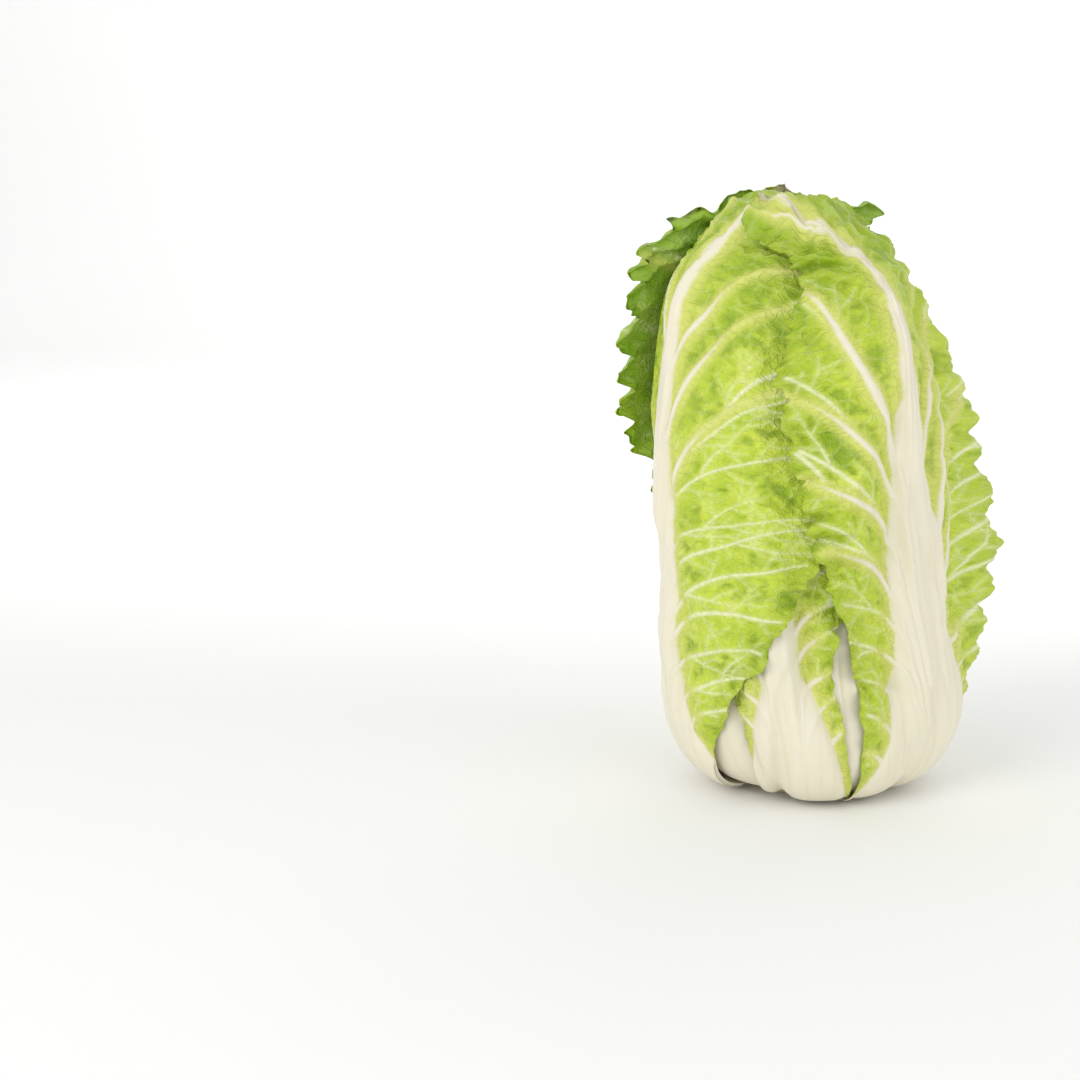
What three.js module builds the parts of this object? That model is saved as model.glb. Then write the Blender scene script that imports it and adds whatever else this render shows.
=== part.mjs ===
// A whole head of napa cabbage, standing on its cut stem.
// Millimetres, +Z up, origin at the centre of the cut face, front of the head towards -Y.
//
// The head grows in layers: a closed heart, and eleven outer leaves that wrap round it in a spiral.
// Every leaf is a layer over the heart's surface. A place on that surface is a bearing round the axis
// and a climb from the base to the crown, and a layer adds a height along the surface's normal.
// Each leaf lies on whatever is under it: the heart, and the leaves further in.

import * as THREE from "three";

const RAD = Math.PI / 180;

// ---------------------------------------------------------------- driving dimensions

const HEART = {
  radius: 48.4, // at the widest level
  widest: 55, // height of that level above the table
  drop: 49, // from there down to the heart's underside
  rise: 208, // from there up to the crown
  squareBelow: 4.2, // superellipse exponents: 2 is round, more is squarer
  squareAbove: 2.6,
  waist: 0.05, // share of the radius lost from the widest level to the middle
};
const BOW = -9; // how far the crown stands to the side of the base, along X
const FOOT = { bow: -6, height: 90 }; // how far the head stands to the side of its foot, from this height up
const SAG = { drop: 1.8, bearing: 15, radii: [26, 42], height: 45 }; // the foot sinks a little in front
const CROWN = { height: 263, span: 31 }; // above this height the head is pressed down softly
const SOLE = { height: 4, span: 4 }; // and below this height it is pressed flat on the table
const STEM = { radius: 27, height: 5.4, bevel: 1.6, sides: 28 };

const GAP = { root: 1.9, side: 1.7, crown: 3.0 }; // air between one layer and the next
const BLADE = 1.2; // thickness of the green blade
const STALK = 7.8; // extra thickness of the white stalk where it is thickest
const ROOT_SHARE = 0.35; // the stalk's share of that thickness where it meets the stem
const VEIN_RIDGE = 1.0; // height of the side veins' ridges
const RUFFLE = 3.6; // swing of the waved edge, where nothing covers it
const TIP_LIFT = 3.5; // how far a free tip stands off
const RAGGED = 2.4; // how far the cut edge wanders from its smooth line
const SHELTER = [8, 26]; // an edge lies flat this near a leaf that covers it, and is free this far from it
const DIP = 4; // a leaf bends no deeper than this into a hollow beside the highest thing under it
const SPREAD = { share: 1.7, steps: [36, 76] }; // how much the layers under the head go outwards, and up to where
const CELL = 1.4; // degrees, the cell size of the map of heights that the leaves are laid on

const VEINS = 12; // side veins along a leaf, a pair at each
const ROWS = 2 * VEINS; // a row on each vein, and one between each two
const COLUMNS = [-1, -0.93, -0.8, -0.6, -0.38, -0.18, 0, 0.18, 0.38, 0.6, 0.8, 0.93, 1];
const SWEEP = 0.12; // how far up the leaf a side vein has run when it reaches the edge
const ROUNDING = 0.02; // how far the tip's corners are drawn back

const ROOT_CLIMB = 16; // degrees of climb at which the stalks leave the stem
const HEART_ROWS = 20;
const HEART_SIDES = 30;

// Half widths of a common leaf, in degrees, at these shares of its length.
const KNOTS = [0, 0.1, 0.22, 0.35, 0.5, 0.65, 0.8, 0.92, 1];
const COMMON_WIDTH = [26, 34, 41, 50, 57, 59, 57, 46, 30];
const STALK_WIDTH = [48, 27, 17, 15, 10.5, 6, 3.6, 2.4, 1.4];

// The outer leaves, from the outermost in. bearing: degrees round from the front, towards +X, of the
// leaf's middle. foot, curl: how far its root and its tip are turned from there. reach: where the tip
// ends, in degrees of climb past the crown. left, right: widths as shares of the common leaf's, or
// lists at the knots. open: how far an edge that nothing covers stands off the head, left and right.
// rise: where along the leaf it starts to and where it fully does. fade: what share is lost by the tip.
// wave: how strongly its edge waves. stem: half widths of the stalk, where they aren't the common ones.
const LEAVES = [
  {
    name: "leaf_01_wrapper", bearing: 184, foot: 2, curl: 0, reach: -4, open: [9, 12], wave: 2,
    rise: [0.3, 0.85], fade: 0.3,
    left: [20, 26, 29, 30, 29, 26, 23, 19, 13], right: [20, 31, 44, 53, 58, 60, 54, 42, 25],
  },
  {
    name: "leaf_02_front_right", bearing: 52, foot: 16, curl: -14, reach: -4, open: [1, 31], wave: 2,
    rise: [0.06, 0.36], fade: 0.65,
    left: [44, 40, 39, 44, 41, 35, 20, 12, 9], right: [24, 33, 35, 39, 42, 40, 32, 25, 18],
  },
  {
    name: "leaf_03_left", bearing: -64, foot: -14, curl: 12, reach: -2, open: [8, 1],
    left: [26, 35, 43, 53, 61, 61, 56, 44, 29], right: [22, 38, 59, 67, 68, 69, 72, 60, 36],
  },
  {
    name: "leaf_04_back_right", bearing: 127, foot: 8, curl: 0, reach: -14, open: [20, 8],
    left: 0.9, right: 1.0,
  },
  {
    name: "leaf_05_front", bearing: -20, foot: 14, curl: 0, reach: -6, open: [1, 1],
    left: [20, 18, 22, 42, 54, 58, 57, 46, 30], right: [30, 20, 17, 33, 50, 57, 55, 44, 30],
    stem: [28, 15, 6, 6, 5, 4, 3, 2.4, 1.4],
  },
  {
    name: "leaf_06_back_left", bearing: -136, foot: -7, curl: 0, reach: -16, open: [6, 6],
    left: 0.95, right: 1.0,
  },
  { name: "leaf_07_right", bearing: 84, foot: 8, curl: 0, reach: -18, open: [1, 6], left: 0.9, right: 1.0 },
  {
    name: "leaf_08_front_left", bearing: -45, foot: -7, curl: 0, reach: -22, open: [4, 1],
    left: 0.95, right: 0.9,
  },
  { name: "leaf_09_back", bearing: 157, foot: 6, curl: 0, reach: -26, open: [4, 4], left: 0.95, right: 0.95 },
  {
    name: "leaf_10_inner_front", bearing: 26, foot: -4, curl: 0, reach: -34, open: [1, 1],
    left: 0.9, right: 0.9,
  },
  {
    name: "leaf_11_inner_left", bearing: -107, foot: -5, curl: 0, reach: -34, open: [1, 1],
    left: 0.9, right: 0.9,
  },
];

// Leaves that show only as raised layers on the heart's crown.
const HEART_LEAVES = [
  { bearing: 114, foot: -4, curl: 0, reach: 12, left: 0.8, right: 0.8 },
  { bearing: -29, foot: 4, curl: 0, reach: 14, left: 0.8, right: 0.75 },
  { bearing: -161, foot: -4, curl: 0, reach: 16, left: 0.75, right: 0.75 },
];

const GREEN = { color: 0xb4cf55, roughness: 0.5, metalness: 0 };
const WRAPPER_GREEN = { color: 0x8fb83a, roughness: 0.5, metalness: 0 };
const PALE = { color: 0xdfe6a0, roughness: 0.5, metalness: 0 };
const IVORY = { color: 0xebe6cc, roughness: 0.45, metalness: 0 };

// ---------------------------------------------------------------- small helpers

const clamp = (x, low, high) => Math.min(high, Math.max(low, x));
const smooth = (low, high, x) => {
  const s = clamp((x - low) / (high - low), 0, 1);
  return s * s * (3 - 2 * s);
};

// The value at x of the curve through (KNOTS, values), with straight pieces between the knots.
function atKnots(values, x) {
  const v = clamp(x, 0, 1);
  let i = 1;
  while (i < KNOTS.length - 1 && KNOTS[i] < v) i++;
  const share = (v - KNOTS[i - 1]) / (KNOTS[i] - KNOTS[i - 1]);
  return values[i - 1] + (values[i] - values[i - 1]) * share;
}

// A repeatable number from 0 to 1 for each pair of whole numbers.
function scatter(a, b) {
  const s = Math.sin(a * 127.1 + b * 311.7) * 43758.5453;
  return s - Math.floor(s);
}

// ---------------------------------------------------------------- the heart's surface

// The heart's outline is two quarter superellipses. This walks it and keeps it by length:
// for each step the radius, the height and the outward normal.
function walkProfile(steps) {
  const fine = [];
  for (let i = 0; i <= steps * 8; i++) {
    const turn = (Math.PI * i) / (steps * 8);
    const below = turn < Math.PI / 2;
    const power = 2 / (below ? HEART.squareBelow : HEART.squareAbove);
    const side = Math.abs(Math.sin(turn)) ** power;
    const tall = Math.abs(Math.cos(turn)) ** power;
    const waist = below ? 1 : 1 - HEART.waist * smooth(0, 0.45, tall);
    fine.push([HEART.radius * side * waist, HEART.widest + (below ? -HEART.drop : HEART.rise) * tall]);
  }
  const run = [0];
  for (let i = 1; i < fine.length; i++) {
    run.push(run[i - 1] + Math.hypot(fine[i][0] - fine[i - 1][0], fine[i][1] - fine[i - 1][1]));
  }
  const length = run[run.length - 1];
  const points = [];
  for (let step = 0, i = 1; step <= steps; step++) {
    const target = (length * step) / steps;
    while (i < fine.length - 1 && run[i] < target) i++;
    const share = (target - run[i - 1]) / (run[i] - run[i - 1]);
    points.push([0, 1].map((k) => fine[i - 1][k] + (fine[i][k] - fine[i - 1][k]) * share));
  }
  return { length, points };
}

const STEPS = 180;
const PROFILE = walkProfile(STEPS);

// Radius, height and the way the layers go, at a climb in radians, 0 at the base to pi at the crown.
function profileAt(climb) {
  const place = clamp(climb / Math.PI, 0, 1) * STEPS;
  const at = (p) => {
    const j = clamp(Math.floor(p), 0, STEPS - 1);
    return [0, 1].map((k) => PROFILE.points[j][k] + (PROFILE.points[j + 1][k] - PROFILE.points[j][k]) * (p - j));
  };
  const [radius, height] = at(place);
  const before = at(Math.max(0, place - 2));
  const after = at(Math.min(STEPS, place + 2));
  const along = [after[0] - before[0], after[1] - before[1]];
  const long = Math.hypot(...along);
  // The crown is level, so the layers there go straight up. Under the head they go outwards as much
  // as down, since each stalk joins the stem further out than the one inside it.
  const level = smooth(0, 6, STEPS - place);
  const spread = SPREAD.share * (1 - smooth(...SPREAD.steps, place));
  const way = new THREE.Vector2((along[1] / long) * level + spread, -along[0] / long).normalize();
  return { radius, height, outward: way.x, upward: way.y };
}

// A place on the heart is kept as a point of a plane map: its bearing is the point's direction, and
// its distance is 1 / tan(climb / 2), so the crown is the centre and the base is far away.
// The layers' points are then sagged at the foot, pressed down at the crown, and bowed.
function headPoint(place, layer) {
  const bearing = Math.atan2(place.y, place.x);
  const at = profileAt(2 * Math.atan2(1, place.length()));
  const radius = at.radius + layer * at.outward;
  let height = at.height + layer * at.upward;
  const facing = 0.5 + 0.5 * Math.cos(bearing - SAG.bearing * RAD);
  height -= SAG.drop * facing * smooth(...SAG.radii, radius) * (1 - smooth(0, SAG.height, height));
  const above = Math.max(0, height - CROWN.height);
  const below = Math.max(0, SOLE.height - height);
  height = clamp(height, SOLE.height, CROWN.height) + CROWN.span * (1 - Math.exp(-above / CROWN.span));
  height -= SOLE.span * (1 - Math.exp(-below / SOLE.span));
  const tall = height / (HEART.widest + HEART.rise);
  const bow = BOW * tall ** 2 + FOOT.bow * smooth(0, FOOT.height, height);
  return new THREE.Vector3(radius * Math.sin(bearing) + bow, -radius * Math.cos(bearing), height);
}

// The air between the layers is widest over the crown, where they bend most.
function gapAt(place) {
  const far = place.length();
  const side = GAP.side + (GAP.crown - GAP.side) * (1 - smooth(0.4, 1.2, far));
  return side + (GAP.root - side) * smooth(2.4, 3.7, far);
}

// ---------------------------------------------------------------- one leaf's own map

// The map of a leaf is the same plane, with its centre moved back past the crown, so that the leaf
// can run over the crown without a seam. across is -1 to 1 from edge to edge, along 0 to 1 to the tip.
class LeafMap {
  constructor(spec) {
    this.bearing = spec.bearing * RAD;
    this.foot = spec.foot * RAD;
    this.curl = spec.curl * RAD;
    this.stem = (spec.stem ?? STALK_WIDTH).map((width) => width * RAD);
    this.offset = 0.3; // the moved centre's distance from the crown, in the plane map
    this.root = ROOT_CLIMB * RAD;
    this.tip = Math.PI - 2 * Math.atan(this.offset) + spec.reach * RAD;
    this.widths = [spec.left, spec.right].map((w) =>
      (Array.isArray(w) ? w : COMMON_WIDTH.map((x, i) => (i < 2 ? x : x * w))).map((x) => x * RAD),
    );
  }

  // Direction of the midrib: turned at its foot, straight above, and curled at the tip.
  midrib(along) {
    return this.foot * (1 - smooth(0.1, 0.7, along)) + this.curl * smooth(0.78, 1, along);
  }

  halfWidth(across, along) {
    return atKnots(this.widths[across < 0 ? 0 : 1], along);
  }

  // A side vein climbs as it runs out, and the tip's corners are drawn back.
  climbShare(across, along) {
    const out = Math.min(1, Math.abs(across));
    const v = clamp(along, 0, 1);
    return along + SWEEP * Math.sin((Math.PI / 2) * out) * 4 * v * (1 - v) - ROUNDING * out * out * v ** 3;
  }

  toPlace(across, along) {
    const angle = this.midrib(along) + across * this.halfWidth(across, along);
    const climb = this.root + (this.tip - this.root) * this.climbShare(across, along);
    const far = 1 / Math.tan(climb / 2);
    return new THREE.Vector2(far * Math.cos(angle) - this.offset, far * Math.sin(angle)).rotateAround(
      new THREE.Vector2(),
      this.bearing,
    );
  }

  // The way back, by repeated correction.
  fromPlace(place) {
    const local = place.clone().rotateAround(new THREE.Vector2(), -this.bearing);
    local.x += this.offset;
    const angle = Math.atan2(local.y, local.x);
    const share = (2 * Math.atan2(1, local.length()) - this.root) / (this.tip - this.root);
    let across = 0;
    let along = share;
    for (let i = 0; i < 8; i++) {
      const drift = angle - this.midrib(along);
      across = drift / this.halfWidth(drift, along);
      const miss = this.climbShare(across, along) - share;
      const slope = (this.climbShare(across, along + 1e-3) - this.climbShare(across, along - 1e-3)) / 2e-3;
      along -= miss / Math.max(0.25, slope);
    }
    return { across, along };
  }

  // Millimetres from a point to the leaf's smooth outline: above 0 outside it, below 0 inside.
  outside(across, along) {
    const sideways = (Math.abs(across) - 1) * this.halfWidth(across, along) * HEART.radius * 1.15;
    const lengthways = (along - 1) * (this.tip - this.root) * (PROFILE.length / Math.PI) * 0.9;
    return Math.max(sideways, lengthways);
  }
}

// ---------------------------------------------------------------- how thick a leaf is

// Stalk and midrib: a low arch, widest and thickest near the base.
function stalkThickness(map, across, along) {
  const v = clamp(along, 0, 1);
  const off = (Math.min(1, Math.abs(across)) * map.halfWidth(across, v)) / atKnots(map.stem, v);
  const swell = ROOT_SHARE + (1 - ROOT_SHARE) * smooth(0, 0.14, v);
  const full = STALK * swell * (1 - 0.48 * smooth(0.16, 0.42, v) - 0.4 * smooth(0.42, 1, v));
  return full * Math.max(0, 1 - off * off) ** 0.75;
}

// Side veins: a ridge on every other row of the leaf, from the stalk to near the edge.
function veinRidge(across, along) {
  const wave = 0.5 + 0.5 * Math.cos(2 * Math.PI * VEINS * clamp(along, 0, 1));
  const fade = smooth(0.1, 0.3, Math.abs(across)) * (1 - smooth(0.75, 1, Math.abs(across)));
  return VEIN_RIDGE * wave * fade * smooth(0.1, 0.2, along);
}

const leafThickness = (map, across, along) =>
  BLADE + stalkThickness(map, across, along) + veinRidge(across, along);

// ---------------------------------------------------------------- how the layers lie on each other

const maps = LEAVES.map((spec) => new LeafMap(spec));
const heartMaps = HEART_LEAVES.map((spec) => new LeafMap(spec));

// How high the head stands so far over the heart's smooth surface. The cells are laid out round the
// crown: a cell's direction is its bearing, and its distance the climb still to go.
class Heights {
  constructor() {
    this.reach = Math.ceil(180 / CELL) + 2;
    this.side = 2 * this.reach + 1;
    this.cells = new Float32Array(this.side * this.side);
  }

  toCells(place) {
    const toGo = (180 - (2 * Math.atan2(1, place.length())) / RAD) / CELL;
    return place.clone().setLength(toGo).addScalar(this.reach);
  }

  // Calls visit with every cell that a triangle of places touches, and its shares of the corners.
  eachCell(places, visit) {
    const [a, b, c] = places.map((place) => this.toCells(place));
    const area = (b.x - a.x) * (c.y - a.y) - (b.y - a.y) * (c.x - a.x);
    if (Math.abs(area) < 1e-9) return;
    for (let y = Math.floor(Math.min(a.y, b.y, c.y)); y <= Math.ceil(Math.max(a.y, b.y, c.y)); y++) {
      for (let x = Math.floor(Math.min(a.x, b.x, c.x)); x <= Math.ceil(Math.max(a.x, b.x, c.x)); x++) {
        const second = ((x - a.x) * (c.y - a.y) - (y - a.y) * (c.x - a.x)) / area;
        const third = ((b.x - a.x) * (y - a.y) - (b.y - a.y) * (x - a.x)) / area;
        const shares = [1 - second - third, second, third];
        if (Math.min(...shares) < -0.2) continue;
        const kept = shares.map((share) => Math.max(0, share));
        const sum = kept[0] + kept[1] + kept[2];
        visit(y * this.side + x, kept.map((share) => share / sum));
      }
    }
  }

  // The highest of the four cells round a place.
  highest(place) {
    const at = this.toCells(place).floor();
    const first = at.y * this.side + at.x;
    return Math.max(...[0, 1, this.side, this.side + 1].map((step) => this.cells[first + step]));
  }

  // Notes, for each corner, the highest cell that any triangle at it touches.
  survey(corners) {
    this.eachCell(corners.map((corner) => corner.place), (cell) => {
      for (const corner of corners) corner.most = Math.max(corner.most, this.cells[cell] + corner.gap);
    });
  }

  // Raises the beds of a triangle's corners, each by its share, towards clearing every cell under it.
  settle(corners) {
    this.eachCell(corners.map((corner) => corner.place), (cell, shares) => {
      const bed = shares.reduce((sum, share, i) => sum + share * corners[i].bed, 0);
      const short = this.cells[cell] + corners[0].gap - bed;
      if (short <= 0) return;
      const weight = shares.reduce((sum, share) => sum + share * share, 0);
      corners.forEach((corner, i) => {
        corner.bed = Math.min(corner.most, corner.bed + (short * shares[i]) / weight);
      });
    });
  }

  raise(places, layers) {
    this.eachCell(places, (cell, shares) => {
      const layer = shares.reduce((sum, share, i) => sum + share * layers[i], 0);
      this.cells[cell] = Math.max(this.cells[cell], layer);
    });
  }
}

const heights = new Heights();

// How far one of the heart's own leaves raises it at a place.
function heartLift(map, place) {
  const { across, along } = map.fromPlace(place);
  const inside = 1 - smooth(-3, 3, map.outside(across, along));
  return inside === 0 ? 0 : inside * (BLADE + GAP.side + stalkThickness(map, across, along));
}

// 1 where leaves further out cover leaf number i, 0 where it is free.
function covered(i, place) {
  let cover = 0;
  for (const map of maps.slice(0, i)) {
    const { across, along } = map.fromPlace(place);
    cover = Math.max(cover, 1 - smooth(RAGGED + SHELTER[0], RAGGED + SHELTER[1], map.outside(across, along)));
  }
  return cover;
}

// An edge that nothing covers stands off the head in lobes, one between each two side veins, and
// more across the tip.
function edgeLift(i, across, along, row, column) {
  const spec = LEAVES[i];
  const { rise, fade, wave } = { rise: [0.1, 0.45], fade: 0.4, wave: 1, ...spec };
  const open = spec.open[across < 0 ? 0 : 1];
  const out = smooth(0.5, 1, Math.abs(across));
  const tall = smooth(...rise, along) * (1 - fade * smooth(0.6, 1, along));
  const atTip = smooth(0.86, 1, along);
  const lobe = (number, seed) => (number % 2 === 0 ? 0 : 0.6 + 0.4 * scatter(seed, number));
  const atSide = smooth(0.6, 1, Math.abs(across)) * smooth(0.05, 0.2, along);
  const swing = RUFFLE * wave * Math.max(atSide * lobe(row, i), atTip * lobe(column, i + 40));
  return open * out * out * tall + swing + TIP_LIFT * atTip;
}

// ---------------------------------------------------------------- solids

// A closed shell between two grids of points, [row][column], turned so that it faces out.
function shellGeometry(inner, outer) {
  const rows = inner.length;
  const columns = inner[0].length;
  const points = [...inner.flat(), ...outer.flat()];
  const index = [];
  const id = (layer, r, c) => layer * rows * columns + r * columns + c;
  const quad = (a, b, c, d) => index.push(a, b, c, a, c, d);
  for (let r = 0; r + 1 < rows; r++) {
    for (let c = 0; c + 1 < columns; c++) {
      quad(id(1, r, c), id(1, r, c + 1), id(1, r + 1, c + 1), id(1, r + 1, c));
      // The same diagonal as on the outer face, seen from inside.
      index.push(id(0, r, c), id(0, r + 1, c + 1), id(0, r, c + 1));
      index.push(id(0, r, c), id(0, r + 1, c), id(0, r + 1, c + 1));
    }
  }
  for (let c = 0; c + 1 < columns; c++) {
    quad(id(0, 0, c), id(0, 0, c + 1), id(1, 0, c + 1), id(1, 0, c));
    quad(id(0, rows - 1, c + 1), id(0, rows - 1, c), id(1, rows - 1, c), id(1, rows - 1, c + 1));
  }
  for (let r = 0; r + 1 < rows; r++) {
    quad(id(0, r + 1, 0), id(0, r, 0), id(1, r, 0), id(1, r + 1, 0));
    quad(id(0, r, columns - 1), id(0, r + 1, columns - 1), id(1, r + 1, columns - 1), id(1, r, columns - 1));
  }
  return new THREE.BufferGeometry().setFromPoints(points).setIndex(index);
}

// The corners of every triangle of a grid, as [row, column] pairs.
function gridTriangles(rows, columns) {
  const triangles = [];
  for (let r = 0; r + 1 < rows; r++) {
    for (let c = 0; c + 1 < columns; c++) {
      triangles.push([[r, c], [r, c + 1], [r + 1, c + 1]], [[r, c], [r + 1, c + 1], [r + 1, c]]);
    }
  }
  return triangles;
}

// One leaf: a grid with a row on each side vein, laid on the highest thing under each of its
// triangles, with its free edges standing off.
function leafGeometry(i) {
  const map = maps[i];
  const grid = [];
  for (let row = 0; row <= ROWS; row++) {
    const along = row / ROWS;
    grid.push([]);
    for (const [number, column] of COLUMNS.entries()) {
      const edge = smooth(0.75, 1, Math.abs(column)) * smooth(0.04, 0.16, along);
      const wander = (row % 2 === 0 ? -0.7 : 0.3) + 0.7 * scatter(i + 20 * Math.sign(column), row);
      const width = map.halfWidth(column, along) * HEART.radius * 1.15;
      const across = column * (1 + (edge * RAGGED * wander) / width);
      const place = map.toPlace(across, along);
      const thickness = leafThickness(map, across, along);
      const gap = gapAt(place);
      const off = (1 - covered(i, place)) * edgeLift(i, across, along, row, number);
      grid[row].push({ place, thickness, gap, off, bed: gap, most: gap });
    }
  }
  const triangles = gridTriangles(ROWS + 1, COLUMNS.length).map((t) => t.map(([r, c]) => grid[r][c]));
  for (const corners of triangles) heights.survey(corners);
  for (const node of grid.flat()) {
    const clear = heights.highest(node.place) + node.gap;
    node.most = Math.max(node.most, clear);
    node.bed = Math.max(node.gap, node.most - DIP, clear);
  }
  for (let pass = 0; pass < 10; pass++) {
    for (const corners of triangles) heights.settle(corners);
  }
  for (const node of grid.flat()) node.bed += node.off;
  for (const corners of triangles) {
    heights.raise(corners.map((node) => node.place), corners.map((node) => node.bed + node.thickness));
  }
  const faces = [0, 1].map((share) =>
    grid.map((line) => line.map((node) => headPoint(node.place, node.bed + share * node.thickness))),
  );
  return shellGeometry(...faces);
}

// The heart: a closed body with its own leaves raised on it.
function heartGeometry() {
  const nodes = [{ place: new THREE.Vector2(1e4, 0), layer: 0 }];
  for (let row = 1; row <= HEART_ROWS; row++) {
    const last = row === HEART_ROWS;
    const climb = (Math.PI * (row + 0.2)) / (HEART_ROWS + 0.4);
    const far = last ? 1e-4 : 1 / Math.tan(climb / 2);
    for (let side = 0; side < (last ? 1 : HEART_SIDES); side++) {
      const bearing = (2 * Math.PI * side) / HEART_SIDES;
      const place = new THREE.Vector2(far * Math.cos(bearing), far * Math.sin(bearing));
      const raised = heartMaps.reduce((sum, map) => sum + heartLift(map, place), 0);
      nodes.push({ place, layer: raised * smooth(24 * RAD, 60 * RAD, climb) });
    }
  }
  const index = [];
  const id = (row, side) => 1 + (row - 1) * HEART_SIDES + (side % HEART_SIDES);
  for (let side = 0; side < HEART_SIDES; side++) {
    index.push([0, id(1, side + 1), id(1, side)]);
    for (let row = 1; row + 1 < HEART_ROWS; row++) {
      index.push([id(row, side), id(row, side + 1), id(row + 1, side + 1)]);
      index.push([id(row, side), id(row + 1, side + 1), id(row + 1, side)]);
    }
    index.push([id(HEART_ROWS - 1, side), id(HEART_ROWS - 1, side + 1), nodes.length - 1]);
  }
  for (const corners of index.slice(1)) {
    if (corners.includes(0)) continue;
    heights.raise(corners.map((n) => nodes[n].place), corners.map((n) => nodes[n].layer));
  }
  const points = nodes.map((node) => headPoint(node.place, node.layer));
  return new THREE.BufferGeometry().setFromPoints(points).setIndex(index.flat());
}

// The cut stem: a short drum whose lower face is the cut that the head stands on.
function stemGeometry() {
  const outline = [
    [0, 0],
    [STEM.radius - STEM.bevel, 0],
    [STEM.radius, STEM.bevel],
    [STEM.radius - 1, STEM.height - STEM.bevel],
    [STEM.radius - 3, STEM.height],
    [0, STEM.height],
  ].map(([x, y]) => new THREE.Vector2(x, y));
  return new THREE.LatheGeometry(outline, STEM.sides).rotateX(Math.PI / 2);
}

// ---------------------------------------------------------------- the head

function part(name, geometry, finish) {
  const mesh = new THREE.Mesh(geometry, new THREE.MeshStandardMaterial(finish));
  mesh.name = name;
  return mesh;
}

// Laid from the inside out, each leaf on the heights left by the ones before.
const head = new THREE.Group();
head.add(part("cut_stem", stemGeometry(), IVORY));
head.add(part("heart", heartGeometry(), PALE));
for (let i = LEAVES.length - 1; i >= 0; i--) {
  head.add(part(LEAVES[i].name, leafGeometry(i), i === 0 ? WRAPPER_GREEN : GREEN));
}

export default head;
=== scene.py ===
"""A whole head of napa cabbage on a pale studio floor.

The frame's leaves, heart and cut stem are replaced by fine ones that lie in the same places: a dense
heart, eleven leaves wrapped round it in a spiral, each with a white stalk, branching veins, a
crinkled blade and a waved, cut edge, and the cut stem that the head stands on.

Lengths are in millimetres until a mesh is made, and in metres from there on.
"""

from __future__ import annotations

import logging
import math
from dataclasses import dataclass
from enum import Enum
from typing import Callable, Sequence

import bpy
import numpy as np
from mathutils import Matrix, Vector

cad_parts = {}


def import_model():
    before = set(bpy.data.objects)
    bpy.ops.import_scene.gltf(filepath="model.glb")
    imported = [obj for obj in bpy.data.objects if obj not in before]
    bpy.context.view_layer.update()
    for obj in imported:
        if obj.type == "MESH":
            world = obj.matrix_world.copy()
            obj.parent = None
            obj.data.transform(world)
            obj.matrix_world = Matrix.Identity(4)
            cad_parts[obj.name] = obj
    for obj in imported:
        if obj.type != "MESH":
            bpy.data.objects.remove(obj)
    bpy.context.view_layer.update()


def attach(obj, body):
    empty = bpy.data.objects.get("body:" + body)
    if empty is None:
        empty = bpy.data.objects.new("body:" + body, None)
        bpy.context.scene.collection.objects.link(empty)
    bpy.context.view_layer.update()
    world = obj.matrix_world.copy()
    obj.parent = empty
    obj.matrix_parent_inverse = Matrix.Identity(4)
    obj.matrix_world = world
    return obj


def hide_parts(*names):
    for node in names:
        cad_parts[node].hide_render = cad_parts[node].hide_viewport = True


log = logging.getLogger("napa_cabbage")

Array = np.ndarray
Colour = tuple[float, float, float, float]
Point = tuple[float, float, float]
# A strong rib: side, where it leaves the stalk as a share of the length, half width in millimetres
# and lean in degrees.
Rib = tuple[float, float, float, float]

MM = 0.001
UV_UNIT = 100.0  # millimetres of a flat leaf to a unit of its UV map
RAD = math.pi / 180
SEED = 41

# Curves along a leaf are given at these shares of its length, root to tip.
KNOTS = (0, 0.1, 0.22, 0.35, 0.5, 0.65, 0.8, 0.92, 1)
COMMON_WIDTH = (26, 34, 41, 50, 57, 59, 57, 46, 30)  # degrees from the midrib to an edge
STALK_WIDTH = (48, 27, 17, 15, 10.5, 6, 3.6, 2.4, 1.4)  # degrees from the midrib to the stalk's edge


@dataclass(frozen=True)
class LeafSizes:
    """Sizes that all the leaves share, in millimetres where a comment names no other unit."""

    gap_root: float = 0.9  # air between one layer and the next, at the base
    gap_side: float = 1.85
    gap_crown: float = 2.5
    blade: float = 1.2  # thickness of the green blade
    rim: float = 0.3  # its thickness at the edge, as a share
    stalk: float = 7.8  # thickness that the stalk adds in its middle
    root_share: float = 0.35  # share of that at the root
    stalk_ribs: float = 0.3  # height of the long ribs on the stalk
    ruffle: float = 3.6  # waves of the edge, off the head
    ragged: float = 2.4  # waves of the edge, along the blade
    held: tuple[float, float] = (8.0, 26.0)  # past the leaf over it: held down, then free
    covered: tuple[float, float] = (-6.0, -2.0)  # and the same for smooth, then with relief
    panel: float = 6.2  # width of the panels between fine veins
    sweep: float = 0.12  # how far side veins climb, as a share of the length
    rounding: float = 0.02  # how far the tip's corners are drawn back, as a share
    root_climb: float = 16.0  # where a leaf starts, in degrees up the head from the base
    map_offset: float = 0.3  # how far a leaf's map is centred past the crown, in the plane map's unit


SIZES = LeafSizes()


def smooth(low: float, high: float, x: Array) -> Array:
    """A smooth step.

    Args:
        low: Where the step starts.
        high: Where it ends.
        x: The values to step.

    Returns:
        0 below low, 1 above high, and a cubic between them.
    """
    s = np.clip((np.asarray(x, float) - low) / (high - low), 0, 1)
    return s * s * (3 - 2 * s)


def at_knots(values: Sequence[float], x: Array) -> Array:
    """Reads a curve given at the knots.

    Args:
        values: One value for each of KNOTS.
        x: Shares of a leaf's length.

    Returns:
        The values between the knots, by straight pieces.
    """
    return np.interp(np.clip(x, 0, 1), KNOTS, values)


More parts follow.
